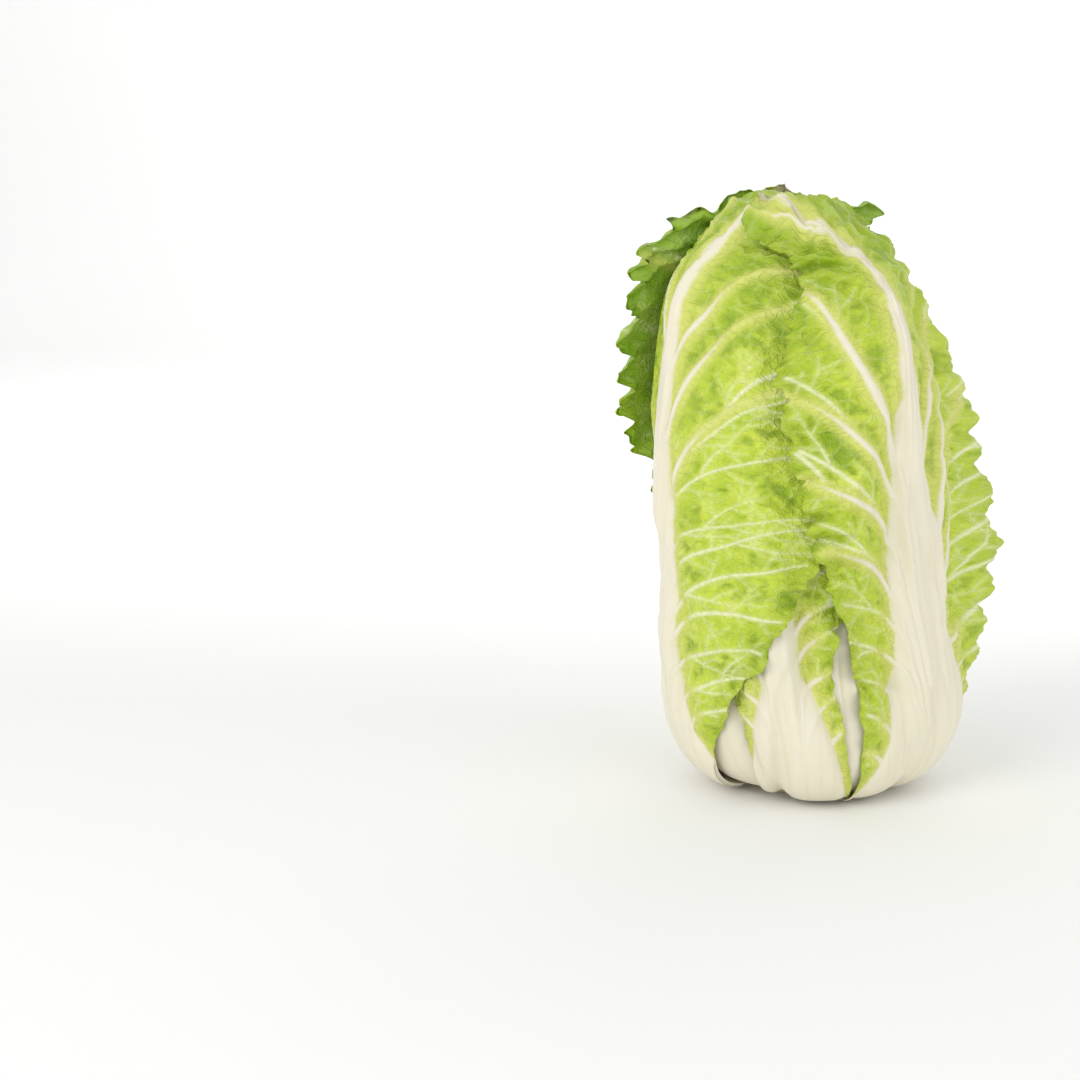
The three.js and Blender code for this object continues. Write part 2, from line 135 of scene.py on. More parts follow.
class Noise:
    """Smooth random values over a plane, the same on every run."""

    def __init__(self, seed: int) -> None:
        """Draws the lattice of random numbers that the seed names."""
        self.table = np.random.default_rng(seed).uniform(-1, 1, (256, 256))

    def at(self, x: Array, y: Array) -> Array:
        """Reads the noise.

        Args:
            x: First coordinate, one lattice cell to a unit.
            y: Second coordinate.

        Returns:
            Values from -1 to 1: the four lattice values round each point, blended smoothly.
        """
        i, j = np.floor(x).astype(int), np.floor(y).astype(int)
        s, t = x - i, y - j
        s, t = s * s * (3 - 2 * s), t * t * (3 - 2 * t)
        a = self.table[i % 256, j % 256]
        b = self.table[(i + 1) % 256, j % 256]
        c = self.table[i % 256, (j + 1) % 256]
        d = self.table[(i + 1) % 256, (j + 1) % 256]
        return (a * (1 - s) + b * s) * (1 - t) + (c * (1 - s) + d * s) * t

    def layered(self, x: Array, y: Array, octaves: int = 3) -> Array:
        """Adds finer and fainter copies of the noise.

        Args:
            x: First coordinate.
            y: Second coordinate.
            octaves: How many copies.

        Returns:
            Values of about -1 to 1.
        """
        total, weight = np.zeros(np.shape(x)), 0.0
        for k in range(octaves):
            share = 0.5**k
            total += share * self.at(x * 2**k + 17.3 * k, y * 2**k - 9.1 * k)
            weight += share
        return total / weight


@dataclass
class HeadSurface:
    """The heart's smooth surface, and the layers over it, in millimetres.

    A place on it is a point of a plane map: its direction is the bearing round the axis, and its
    distance from the centre is 1 / tan(climb / 2), where the climb runs from 0 at the base to pi at
    the crown. A layer is a height over the surface.
    """

    girth: float = 48.4  # the heart's radius where it is widest
    widest: float = 55.0  # how high that is
    drop: float = 49.0  # from there down to the base
    rise: float = 208.0  # and up to the crown
    square_below: float = 4.2  # powers of the outline's two quarter superellipses
    square_above: float = 2.6
    waist: float = 0.05  # how much narrower the outline is above, as a share
    bow: float = -9.0  # sideways lean of the crown
    bow_foot: float = -6.0  # and of all that is above the foot
    foot: float = 90.0
    spread: float = 1.7  # how strongly layers fan out round the base
    spread_steps: tuple[float, float] = (36, 76)
    sag: float = 1.8  # how far the base comes down towards the floor in front
    sag_bearing: float = 15.0  # degrees
    sag_radii: tuple[float, float] = (26.0, 42.0)  # it comes in over these radii
    sag_top: float = 45.0  # and is gone at this height
    crown: float = 263.0  # height above which layers are pressed down
    crown_span: float = 31.0  # the most that they reach above it
    crumple: float = 4.6  # folds in the crown
    crumple_heights: tuple[float, float] = (228.0, 264.0)
    crumple_size: float = 8.0
    crumple_sink: float = 0.6  # share of a fold's depth by which all of the crown sinks
    sole: float = 4.0  # height under which layers are pressed up, and the most they reach under it
    steps: int = 180  # of the outline, base to crown
    flatten: float = 1.15  # the head's mean radius with its leaves, as a share of the heart's

    def __post_init__(self) -> None:
        """Walks the outline and keeps it by length."""
        turn = np.linspace(0, math.pi, self.steps * 8 + 1)
        below = turn < math.pi / 2
        power = np.where(below, 2 / self.square_below, 2 / self.square_above)
        side = np.abs(np.sin(turn)) ** power
        tall = np.abs(np.cos(turn)) ** power
        waist = np.where(below, 1, 1 - self.waist * smooth(0, 0.45, tall))
        radius = self.girth * side * waist
        height = self.widest + np.where(below, -self.drop, self.rise) * tall
        run = np.concatenate([[0], np.cumsum(np.hypot(np.diff(radius), np.diff(height)))])
        even = np.linspace(0, run[-1], self.steps + 1)
        self.length = float(run[-1])
        self.flat_scale = self.girth * self.flatten
        self.radii = np.interp(even, run, radius)
        self.heights = np.interp(even, run, height)
        self.folds = Noise(SEED - 1)

    def at(self, x: Array, y: Array, layer: Array | float) -> Array:
        """Finds points over the surface.

        Each is the outline's point at the climb, moved by the layer along the outline's outward
        normal, turned to the bearing, sagged towards the floor in front, pressed down above the
        crown's start and under the sole, folded at the crown, and bowed by the square of its height.

        Args:
            x: First coordinates of the places.
            y: Second coordinates of the places.
            layer: Heights over the surface.

        Returns:
            Points in millimetres, with the coordinates in the last axis.
        """
        steps = self.steps
        place = 2 * np.arctan2(1, np.hypot(x, y)) / math.pi * steps
        out, up = self._normal(place)
        radius = self._read(self.radii, place) + layer * out
        height = self._read(self.heights, place) + layer * up
        bearing = np.arctan2(y, x)
        facing = 0.5 + 0.5 * np.cos(bearing - self.sag_bearing * RAD)
        low = smooth(*self.sag_radii, radius) * (1 - smooth(0, self.sag_top, height))
        height = height - self.sag * facing * low
        above, below = np.maximum(0, height - self.crown), np.maximum(0, self.sole - height)
        height = np.clip(height, self.sole, self.crown)
        height = height + self.crown_span * (1 - np.exp(-above / self.crown_span))
        height = height - self.sole * (1 - np.exp(-below / self.sole))
        wide, deep = radius * np.sin(bearing), radius * np.cos(bearing)
        folds = self.folds.layered(wide / self.crumple_size, deep / self.crumple_size, 3)
        folds = folds - self.crumple_sink
        height = height + self.crumple * folds * smooth(*self.crumple_heights, height)
        bow = self.bow * (height / (self.widest + self.rise)) ** 2
        return np.stack([wide + (bow + self.bow_foot * smooth(0, self.foot, height)), -deep, height], -1)

    def _read(self, curve: Array, place: Array) -> Array:
        """Reads the outline's radii or heights at places between its steps."""
        return np.interp(place, np.arange(self.steps + 1), curve)

    def _normal(self, place: Array) -> tuple[Array, Array]:
        """Finds the direction in which layers lie on each other.

        Args:
            place: Steps up the outline.

        Returns:
            The outline's unit normal, fanned out round the base: its outward and upward parts.
        """
        before, after = np.clip(place - 2, 0, self.steps), np.clip(place + 2, 0, self.steps)
        run = self._read(self.radii, after) - self._read(self.radii, before)
        rise = self._read(self.heights, after) - self._read(self.heights, before)
        long = np.hypot(run, rise)
        outward = rise / long * smooth(0, 6, self.steps - place)
        outward = outward + self.spread * (1 - smooth(*self.spread_steps, place))
        upward = -run / long
        norm = np.hypot(outward, upward)
        return outward / norm, upward / norm


HEAD = HeadSurface()


def gap_at(x: Array, y: Array) -> Array:
    """The air under a leaf, widest over the crown.

    Args:
        x: First coordinates of the places.
        y: Second coordinates of the places.

    Returns:
        The gap in millimetres.
    """
    far = np.hypot(x, y)
    side = SIZES.gap_side + (SIZES.gap_crown - SIZES.gap_side) * (1 - smooth(0.4, 1.2, far))
    return side + (SIZES.gap_root - side) * smooth(2.4, 3.7, far)


class Role(Enum):
    """How a leaf is finished."""

    WRAPPER = "wrapper_leaf"
    OUTER = "leaf"
    HEART = "heart_leaf"


@dataclass(frozen=True)
class LeafSpec:
    """Where one leaf grows and how wide it is."""

    node: str
    bearing: float  # degrees round the head from the front, towards its right
    foot: float  # how far the midrib starts to one side, in degrees
    curl: float  # and how far it turns at the tip
    reach: float  # how far the tip goes past the crown, in degrees
    left: float | tuple[float, ...]  # share of the common widths, or degrees at the knots
    right: float | tuple[float, ...]
    open: tuple[float, float] = (0, 0)  # how far the left and right edges stand off, in millimetres
    rows: int = 150
    columns: int = 80
    role: Role = Role.OUTER
    rise: tuple[float, float] = (0.1, 0.45)  # where along the leaf the edges come to stand off
    fade: float = 0.4  # how much less they do towards the tip, as a share
    wave: float = 1.0  # strength of the edge's ruffle
    stem: tuple[float, ...] = STALK_WIDTH
    ribs: tuple[Rib, ...] = (
        (-1, 0.36, 1.6, 15), (1, 0.4, 1.6, 15), (-1, 0.62, 1.1, 24), (1, 0.66, 1.1, 24))


# From the outermost leaf in, the order of a spiral.
LEAVES: tuple[LeafSpec, ...] = (
    LeafSpec("leaf_01_wrapper", bearing=184, foot=2, curl=0, reach=-4,
             left=(20, 26, 29, 30, 29, 26, 23, 19, 13),
             right=(20, 31, 44, 53, 58, 60, 54, 42, 25),
             open=(9, 12), rows=300, columns=140, role=Role.WRAPPER, rise=(0.3, 0.85), fade=0.3, wave=2.0),
    LeafSpec("leaf_02_front_right", bearing=52, foot=16, curl=-14, reach=-4,
             left=(44, 40, 39, 44, 41, 35, 20, 12, 9),
             right=(24, 33, 35, 39, 42, 40, 32, 25, 18),
             open=(1, 31), rows=420, columns=180, rise=(0.06, 0.36), fade=0.65, wave=2.1,
             stem=(48, 27, 17, 14.5, 8.5, 3.8, 2.1, 1.1, 0.4),
             ribs=((-1, 0.5, 2.2, 10), (1, 0.3, 1.5, 11), (1, 0.4, 1.8, 8), (1, 0.5, 1.4, 10),
                   (-1, 0.35, 0.9, 58), (-1, 0.43, 1.1, 44), (-1, 0.5, 1.2, 32))),
    LeafSpec("leaf_03_left", bearing=-64, foot=-14, curl=12, reach=-2,
             left=(26, 35, 43, 53, 61, 61, 56, 44, 29),
             right=(22, 38, 59, 67, 68, 69, 72, 60, 36),
             open=(8, 1), rows=420, columns=180,
             stem=(48, 27, 17, 14, 7, 3, 1.7, 1, 0.4),
             ribs=((-1, 0.42, 1.3, 8), (1, 0.46, 1.0, 26), (1, 0.58, 1.1, 24), (1, 0.69, 0.9, 24),
                   (-1, 0.7, 0.9, 12))),
    LeafSpec("leaf_04_back_right", bearing=127, foot=8, curl=0, reach=-14, left=0.9, right=1.0,
             open=(20, 8), rows=260, columns=120),
    LeafSpec("leaf_05_front", bearing=-20, foot=14, curl=0, reach=-6,
             left=(20, 18, 22, 42, 54, 58, 57, 46, 30),
             right=(30, 20, 17, 33, 50, 57, 55, 44, 30),
             open=(1, 1), rows=300, columns=160, stem=(28, 15, 6, 6, 5, 4, 3, 2.4, 1.4)),
    LeafSpec("leaf_06_back_left", bearing=-136, foot=-7, curl=0, reach=-16, left=0.95, right=1.0,
             open=(6, 6), rows=220, columns=110),
    LeafSpec("leaf_07_right", bearing=84, foot=8, curl=0, reach=-18, left=0.9, right=1.0,
             open=(1, 6), rows=220, columns=100),
    LeafSpec("leaf_08_front_left", bearing=-45, foot=-7, curl=0, reach=-22, left=0.95, right=0.9,
             open=(4, 1), rows=180, columns=90),
    LeafSpec("leaf_09_back", bearing=157, foot=6, curl=0, reach=-26, left=0.95, right=0.95,
             open=(4, 4), rows=120, columns=60),
    LeafSpec("leaf_10_inner_front", bearing=26, foot=-4, curl=0, reach=-34, left=0.9, right=0.9,
             open=(1, 1), rows=200, columns=100),
    LeafSpec("leaf_11_inner_left", bearing=-107, foot=-5, curl=0, reach=-34, left=0.9, right=0.9,
             open=(1, 1), rows=120, columns=60),
)
HEART_LEAVES: tuple[LeafSpec, ...] = (
    LeafSpec("heart", bearing=114, foot=-4, curl=0, reach=12, left=0.8, right=0.8),
    LeafSpec("heart", bearing=-29, foot=4, curl=0, reach=14, left=0.8, right=0.75),
    LeafSpec("heart", bearing=-161, foot=-4, curl=0, reach=16, left=0.75, right=0.75),
)


class LeafMap:
    """A leaf's own map: across runs from -1 to 1 between its edges, along from 0 to 1 to its tip.

    It is the head's plane map with the centre moved back past the crown, so that a leaf can run
    over the crown without a seam.
    """

    CORRECTIONS = 8

    def __init__(self, spec: LeafSpec) -> None:
        """Reads the leaf's widths and turns.

        Args:
            spec: The leaf.
        """
        self.bearing, self.foot, self.curl = (a * RAD for a in (spec.bearing, spec.foot, spec.curl))
        self.root = SIZES.root_climb * RAD
        self.tip = math.pi - 2 * math.atan(SIZES.map_offset) + spec.reach * RAD
        self.widths = [self._widths(w) for w in (spec.left, spec.right)]
        self.stem = np.array(spec.stem) * RAD

    @staticmethod
    def _widths(width: float | tuple[float, ...]) -> Array:
        """Reads one side's widths.

        Args:
            width: A share of the common leaf's widths, or the widths themselves in degrees.

        Returns:
            Widths at the knots, in radians.
        """
        if isinstance(width, tuple):
            return np.array(width) * RAD
        return np.array([w if i < 2 else w * width for i, w in enumerate(COMMON_WIDTH)]) * RAD

    def midrib(self, along: Array) -> Array:
        """The midrib's way in radians: turned at its foot, straight above, curled at the tip."""
        return self.foot * (1 - smooth(0.1, 0.7, along)) + self.curl * smooth(0.78, 1, along)

    def half_width(self, side: Array, along: Array) -> Array:
        """Radians from the midrib to an edge: the left one where side is negative, else the right."""
        left, right = (at_knots(w, along) for w in self.widths)
        return np.where(side < 0, left, right)

    @staticmethod
    def climb_share(across: Array, along: Array) -> Array:
        """How far up the leaf a place is. Side veins climb, and the tip's corners are drawn back.

        Args:
            across: Places across the leaf.
            along: Places along it.

        Returns:
            Shares of the climb from root to tip.
        """
        out = np.minimum(1, np.abs(across))
        v = np.clip(along, 0, 1)
        sweep = SIZES.sweep * np.sin(math.pi / 2 * out) * 4 * v * (1 - v)
        return along + sweep - SIZES.rounding * out * out * v**3

    def to_place(self, across: Array, along: Array) -> tuple[Array, Array]:
        """Finds places on the head.

        Args:
            across: Places across the leaf.
            along: Places along it.

        Returns:
            The places' two coordinates in the head's plane map.
        """
        angle = self.midrib(along) + across * self.half_width(across, along)
        climb = self.root + (self.tip - self.root) * self.climb_share(across, along)
        far = 1 / np.tan(climb / 2)
        x, y = far * np.cos(angle) - SIZES.map_offset, far * np.sin(angle)
        c, s = math.cos(self.bearing), math.sin(self.bearing)
        return x * c - y * s, x * s + y * c

    def from_place(self, x: Array, y: Array) -> tuple[Array, Array]:
        """The way back, by repeated correction.

        Args:
            x: First coordinates of places on the head.
            y: Second coordinates.

        Returns:
            The places across and along the leaf.
        """
        c, s = math.cos(-self.bearing), math.sin(-self.bearing)
        lx, ly = x * c - y * s + SIZES.map_offset, x * s + y * c
        angle = np.arctan2(ly, lx)
        share = along = (2 * np.arctan2(1, np.hypot(lx, ly)) - self.root) / (self.tip - self.root)
        across = np.zeros_like(share)
        for _ in range(self.CORRECTIONS):
            drift = angle - self.midrib(along)
            across = drift / self.half_width(drift, along)
            along = self._corrected(across, along, share)
        return across, along

    def _corrected(self, across: Array, along: Array, share: Array) -> Array:
        """Moves places along the leaf until, on a straight line, they climb as far as they should.

        Args:
            across: Places across the leaf.
            along: Places along it.
            share: Shares of the climb that they should have.

        Returns:
            Better places along it.
        """
        nudge = 1e-3
        miss = self.climb_share(across, along) - share
        slope = self.climb_share(across, along + nudge) - self.climb_share(across, along - nudge)
        return along - miss / np.maximum(0.25, slope / (2 * nudge))

    @property
    def length(self) -> float:
        """The leaf's length over the head, in millimetres."""
        return (self.tip - self.root) * HEAD.length / math.pi

    def unflatten(self, x: Array, y: Array) -> tuple[Array, Array]:
        """Finds places on the leaf from the leaf laid flat, by repeated correction.

        Args:
            x: Millimetres from the midrib.
            y: Millimetres from the root, straight up.

        Returns:
            The places across and along the leaf.
        """
        share = along = y / self.length
        across = np.zeros_like(along)
        for _ in range(self.CORRECTIONS):
            across = x / (self.half_width(x, along) * HEAD.flat_scale)
            along = self._corrected(across, along, share)
        return across, along

    def outside(self, across: Array, along: Array) -> Array:
        """Distance to the leaf's smooth outline.

        Args:
            across: Places across the leaf.
            along: Places along it.

        Returns:
            Millimetres, positive outside the leaf.
        """
        sideways = (np.abs(across) - 1) * self.half_width(across, along) * HEAD.flat_scale
        lengthways = (along - 1) * (self.tip - self.root) * (HEAD.length / math.pi) * 0.9
        return np.maximum(sideways, lengthways)

    def off_stalk(self, across: Array, along: Array) -> Array:
        """Millimetres to the stalk's edge, negative on the stalk."""
        half = at_knots(self.stem, along)
        return (np.abs(across) * self.half_width(across, along) - half) * HEAD.flat_scale

    def stalk_ratio(self, across: Array, along: Array) -> Array:
        """How far out a place is: 0 on the midrib, 1 at the stalk's edge, more on the blade."""
        half = at_knots(self.stem, along)
        return np.minimum(1, np.abs(across)) * self.half_width(across, np.clip(along, 0, 1)) / half

    def thickness(self, across: Array, along: Array) -> Array:
        """Blade and stalk together: the stalk is a low arch, thickest near the base.

        Args:
            across: Places across the leaf.
            along: Places along it.

        Returns:
            Thickness in millimetres.
        """
        v = np.clip(along, 0, 1)
        full = SIZES.stalk * (SIZES.root_share + (1 - SIZES.root_share) * smooth(0, 0.14, v))
        full = full * (1 - 0.48 * smooth(0.16, 0.42, v) - 0.4 * smooth(0.42, 1, v))
        off = self.stalk_ratio(across, along)
        return SIZES.blade + full * np.maximum(0, 1 - off * off) ** 0.75


@dataclass
class Heights:
    """How high the head stands so far over the heart's smooth surface, on a grid round the crown.

    A cell's direction from the middle is its bearing, and its distance the climb still to go.
    """

    cell: float = 1.0  # degrees
    reach: int = 183  # cells each way from the crown

    def __post_init__(self) -> None:
        """Starts with the bare heart."""
        line = np.arange(-self.reach, self.reach + 1) * self.cell
        gx, gy = np.meshgrid(line, line, indexing="ij")
        to_go = np.clip(np.hypot(gx, gy), 0.02, 178)
        far = 1 / np.tan((180 - to_go) * RAD / 2)
        bearing = np.arctan2(gy, gx)
        self.x, self.y = far * np.cos(bearing), far * np.sin(bearing)
        self.layer = np.zeros_like(self.x)
        self.bed = self.layer

    @staticmethod
    def _slide(grid: Array, axis: int, reach: int, join: Callable[[Array, Array], Array]) -> Array:
        """Joins a grid with its own shifted copies.

        Args:
            grid: The grid.
            axis: The axis to shift along.
            reach: The largest shift, in cells.
            join: How two grids are joined.

        Returns:
            The joined grid.
        """
        out = grid
        for shift in range(1, reach + 1):
            for way in (-shift, shift):
                out = join(out, np.roll(grid, way, axis))
        return out

    def settle(self, spread: int = 2, blur: int = 2) -> None:
        """Drapes a smooth bed over the heights: each cell takes the highest near it, then the mean.

        Args:
            spread: Cells each way for the highest.
            blur: Cells each way for the mean.
        """
        bed = self.layer
        for axis in (0, 1):
            bed = self._slide(bed, axis, spread + blur - 1, np.maximum)
        for _ in range(2):
            for axis in (0, 1):
                bed = self._slide(bed, axis, blur, np.add) / (2 * blur + 1)
        self.bed = bed

    def read(self, x: Array, y: Array) -> Array:
        """Reads the bed between its cells.

        Args:
            x: First coordinates of places.
            y: Second coordinates.

        Returns:
            Heights in millimetres.
        """
        to_go = 180 - 2 * np.arctan2(1, np.hypot(x, y)) / RAD
        bearing = np.arctan2(y, x)
        return sample(self.bed, to_go * np.cos(bearing) / self.cell + self.reach,
                      to_go * np.sin(bearing) / self.cell + self.reach)

    def lay(self, leaf: LeafMap, top: Array) -> None:
        """Adds a leaf's outer face to the heights.

        Args:
            leaf: The leaf's map.
            top: The heights of its outer face, by row and column.
        """
        across, along = leaf.from_place(self.x, self.y)
        rows, columns = top.shape
        inside = (np.abs(across) <= 1.02) & (along >= 0) & (along <= 1.01)
        found = sample(top, np.clip(along, 0, 1) * (rows - 1),
                       (np.clip(across, -1, 1) + 1) / 2 * (columns - 1))
        self.layer = np.where(inside, np.maximum(self.layer, found), self.layer)


def sample(grid: Array, i: Array, j: Array) -> Array:
    """Reads a grid between its points.

    Args:
        grid: The values.
        i: Places along the first axis, in cells.
        j: Places along the second.

    Returns:
        The values, blended from the four corners.
    """
    i = np.clip(i, 0, grid.shape[0] - 1.001)
    j = np.clip(j, 0, grid.shape[1] - 1.001)
    a, b = i.astype(int), j.astype(int)
    s, t = i - a, j - b
    top = grid[a, b] * (1 - t) + grid[a, b + 1] * t
    low = grid[a + 1, b] * (1 - t) + grid[a + 1, b + 1] * t
    return top * (1 - s) + low * s


class Cells:
    """Uneven cells over a plane, the same on every run."""

    def __init__(self, seed: int, size: float) -> None:
        """Scatters one middle in each square of a lattice, whose spacing is in millimetres."""
        self.size = size
        self.shift = np.random.default_rng(seed).uniform(0.08, 0.92, (128, 128, 2))

    def border(self, x: Array, y: Array) -> Array:
        """Measures each point against the nearest border between two cells.

        Args:
            x: First coordinate in millimetres.
            y: Second coordinate.

        Returns:
            Half the difference of the distances to the two nearest middles, in millimetres.
        """
        gx, gy = x / self.size, y / self.size
        i, j = np.floor(gx).astype(int), np.floor(gy).astype(int)
        first, second = np.full(gx.shape, 9.0), np.full(gx.shape, 9.0)
        for di in (-1, 0, 1):
            for dj in (-1, 0, 1):
                middle = self.shift[(i + di) % 128, (j + dj) % 128]
                gap = np.hypot(i + di + middle[..., 0] - gx, j + dj + middle[..., 1] - gy)
                second = np.minimum(second, np.maximum(first, gap))
                first = np.minimum(first, gap)
        return (second - first) * self.size / 2


@dataclass(frozen=True)
class Offshoot:
    """How one kind of branch leaves a vein."""

    lean: tuple[float, float]  # the least and the most, in degrees
    reach: tuple[float, float]  # and its length, in millimetres
    thin: float  # its half width, as a share of the vein's
    bend: float  # how far it turns back over its length, in degrees


FORK = Offshoot((24, 36), (20, 32), 0.8, 14)
TWIG = Offshoot((45, 65), (7, 13), 0.42, 14)
HAIR = Offshoot((42, 62), (5, 9), 0.5, 16)
NO_WHITE = -9.0  # half width, in millimetres, of a white heart that doesn't show


@dataclass
class VeinTree:
    """A leaf's veins, grown on the leaf laid flat, as short straight pieces, in millimetres.

    Side veins run up inside the stalk beside the midrib, leave it one by one, bend outwards and
    branch twice. A side vein that meets a strong rib leaves from that instead.
    """

    seed: int
    chart: LeafMap
    step: float = 2.0  # length of a piece
    room: tuple[float, float] = (0.985, 0.99)  # where veins stop, as shares across and along the leaf
    lowest: float = 30.0  # nothing shows in the stalk below this
    rib_inside: float = 60.0  # how far a rib shows in the stalk before it leaves
    rib_reach: float = 96.0
    rib_thin: float = 0.3  # half width at the tip
    inside: float = 36.0  # the same three for a side vein
    reach: tuple[float, float] = (50.0, 84.0)
    thin: float = 0.24
    first: tuple[float, float] = (19.0, 29.0)  # where the lowest leave, on the left and the right
    last: float = 0.95  # and the highest, as a share of the leaf
    spacing: tuple[float, float] = (9.0, 15.0)  # between side veins near the root
    leave: float = 14.0  # a side vein's first lean, in degrees
    turn: tuple[float, float] = (68.0, 32.0)  # its lean further out, near the root and near the tip
    branch_start: tuple[float, float] = (7.0, 11.0)
    branch_spacing: tuple[float, float] = (7.0, 12.0)
    fork_from: float = 12.0  # branches nearer than this are twigs
    fork_share: float = 0.4

    def __post_init__(self) -> None:
        """Starts with no veins."""
        self.rng = np.random.default_rng(self.seed)
        self.pieces: list[Array] = []
        self.ribs: list[tuple[float, Array]] = []

    def grow(self, ribs: Sequence[Rib]) -> Array:
        """Draws every vein.

        Args:
            ribs: The strong ribs.

        Returns:
            The pieces, one a row: start and end on the flat leaf, half width, and the half width
            of its white heart, all in millimetres.
        """
        length = self.chart.length
        for side, leave, half, lean in ribs:
            self._rib(side, leave * length, half, lean * RAD)
        for side, leave in zip((-1.0, 1.0), self.first):
            while leave < self.last * length:
                self._side_vein(side, leave)
                wider = 1 + 0.7 * float(smooth(0.35, 0.7, leave / length))
                leave += wider * self.rng.uniform(*self.spacing)
        return np.concatenate(self.pieces)

    def _edge(self, y: float) -> float:
        """The stalk's half width at a height on the flat leaf, both in millimetres."""
        return float(at_knots(self.chart.stem, y / self.chart.length) * HEAD.flat_scale)

    def _in_stalk(self, side: float, off: float, shares: tuple[float, float], low: float,
                  leave: float) -> Array:
        """Draws the straight part of a vein inside the stalk.

        Args:
            side: -1 for the left, 1 for the right.
            off: Millimetres from the midrib.
            shares: What it starts at and leaves at, as shares of that.
            low: How far down it starts.
            leave: How far up it leaves.

        Returns:
            Points of the flat leaf, one a row.
        """
        up = np.arange(max(self.lowest, low), leave, 2 * self.step)
        part = (up - up[:1]) / (leave - up[:1])
        return np.stack([side * off * (shares[0] + (shares[1] - shares[0]) * part), up], -1)

    def _rib(self, side: float, leave: float, half: float, lean: float) -> None:
        """Draws one strong rib, which leaves the stalk at a small angle and stays white for long.

        Args:
            side: -1 for the left, 1 for the right.
            leave: How far up it leaves the stalk, in millimetres.
            half: Its half width there.
            lean: Its angle to the midrib.
        """
        off = self._edge(leave) - half
        inner = self._in_stalk(side, off, (0.7, 1.0), leave - self.rib_inside, leave)
        walked = np.arange(0, self.rib_reach, self.step)
        bend = 0.8 * max(0.0, 1 - lean / (50 * RAD))
        sway = 4 * RAD * np.sin(walked / 11 + self.rng.uniform(0, 6))
        heading = lean * (smooth(-10, 26, walked) + bend * smooth(25, 80, walked)) + sway
        path = self._trace(inner[-1], side * heading)
        halves = self._taper(half, self.rib_thin, len(path), 0.8)
        self._keep(inner, np.full(len(inner), half), np.full(len(inner), half))
        fade = smooth(26 * half, 52 * half, np.arange(len(path)) * self.step)
        count = self._keep(path, halves, halves - 1.6 * fade)
        self.ribs.append((side, path[:count]))

    @staticmethod
    def _taper(half: float, thin: float, count: int, power: float) -> Array:
        """Half widths along a vein: they follow what is left of the way to its tip, to a power."""
        return thin + (half - thin) * (1 - np.linspace(0, 1, count)) ** power

    def _keep(self, path: Array, halves: Array, white: Array | None = None) -> int:
        """Keeps the part of a path that lies on the leaf.

        Args:
            path: Points of the flat leaf, one a row.
            halves: Half width at each point.
            white: Half width of the white heart at each point, none if left out.

        Returns:
            How many points were kept.
        """
        across, along = self.chart.unflatten(path[:, 0], path[:, 1])
        gone = np.flatnonzero((np.abs(across) > self.room[0]) | (along > self.room[1]) | (along < 0))
        count = int(gone[0]) if len(gone) else len(path)
        if count > 1:
            heart = np.full(len(path), NO_WHITE) if white is None else white
            wide = np.stack([halves, heart], -1)[:count]
            wide = (wide[:-1] + wide[1:]) / 2
            self.pieces.append(np.concatenate([path[:count - 1], path[1:count], wide], -1))
        return count

    def _trace(self, start: Array, heading: Array) -> Array:
        """Walks from a point, one step for each heading, in radians from the midrib's direction."""
        steps = np.stack([np.sin(heading), np.cos(heading)], -1) * self.step
        return start + np.concatenate([np.zeros((1, 2)), np.cumsum(steps, 0)])

    def _side_vein(self, side: float, leave: float) -> None:
        """Draws one side vein with its branches.

        Args:
            side: -1 for the left, 1 for the right.
            leave: How far up it leaves the stalk, in millimetres.
        """
        rng, share, edge = self.rng, leave / self.chart.length, self._edge(leave)
        off = edge
        for rib_side, rib in self.ribs:
            if rib_side == side and rib[0, 1] < leave < rib[-1, 1]:
                off = max(off, abs(float(np.interp(leave, rib[:, 1], rib[:, 0]))))
        on_stalk = off < edge + 1
        strong = (1.3 - 0.5 * share) * rng.uniform(0.7, 1.15)
        first = np.array([side * off * 0.95, leave])
        inner = self._in_stalk(side, off, (0.62, 0.95), leave - self.inside, leave)
        if on_stalk and len(inner) > 2:
            self._keep(inner, np.linspace(0.3, strong * 0.7, len(inner)))
            first = inner[-1]
        turn = self.turn[0] + (self.turn[1] - self.turn[0]) * float(smooth(0.2, 0.7, share))
        turn += rng.uniform(-7, 7)
        walked = np.arange(0, rng.uniform(*self.reach), self.step)
        heading = (self.leave + (turn - self.leave) * smooth(-8, 18, walked)) * RAD
        heading = heading + rng.uniform(2, 24) * RAD * smooth(20, 60, walked)
        heading = heading + 5 * RAD * np.sin(walked / rng.uniform(5, 10) + rng.uniform(0, 6))
        path = self._trace(first, side * heading)
        halves = self._taper(strong, self.thin, len(path), 0.75)
        passed = np.arange(len(path)) * self.step
        white = strong * (1 - passed / 18) + NO_WHITE * smooth(8, 26, passed)
        count = self._keep(path, halves, white if on_stalk else None)
        way = 1.0 if rng.random() < 0.5 else -1.0
        at = rng.uniform(*self.branch_start)
        while at / self.step < count - 3:
            k = int(at / self.step)
            kind = FORK if at > self.fork_from and rng.random() < self.fork_share else TWIG
            lean = heading[k] + way * rng.uniform(*kind.lean) * RAD
            self._branch(path[k], side * lean, -side * way * kind.bend * RAD,
                         halves[k] * kind.thin, rng.uniform(*kind.reach), 1)
            way = -way
            at += rng.uniform(*self.branch_spacing)

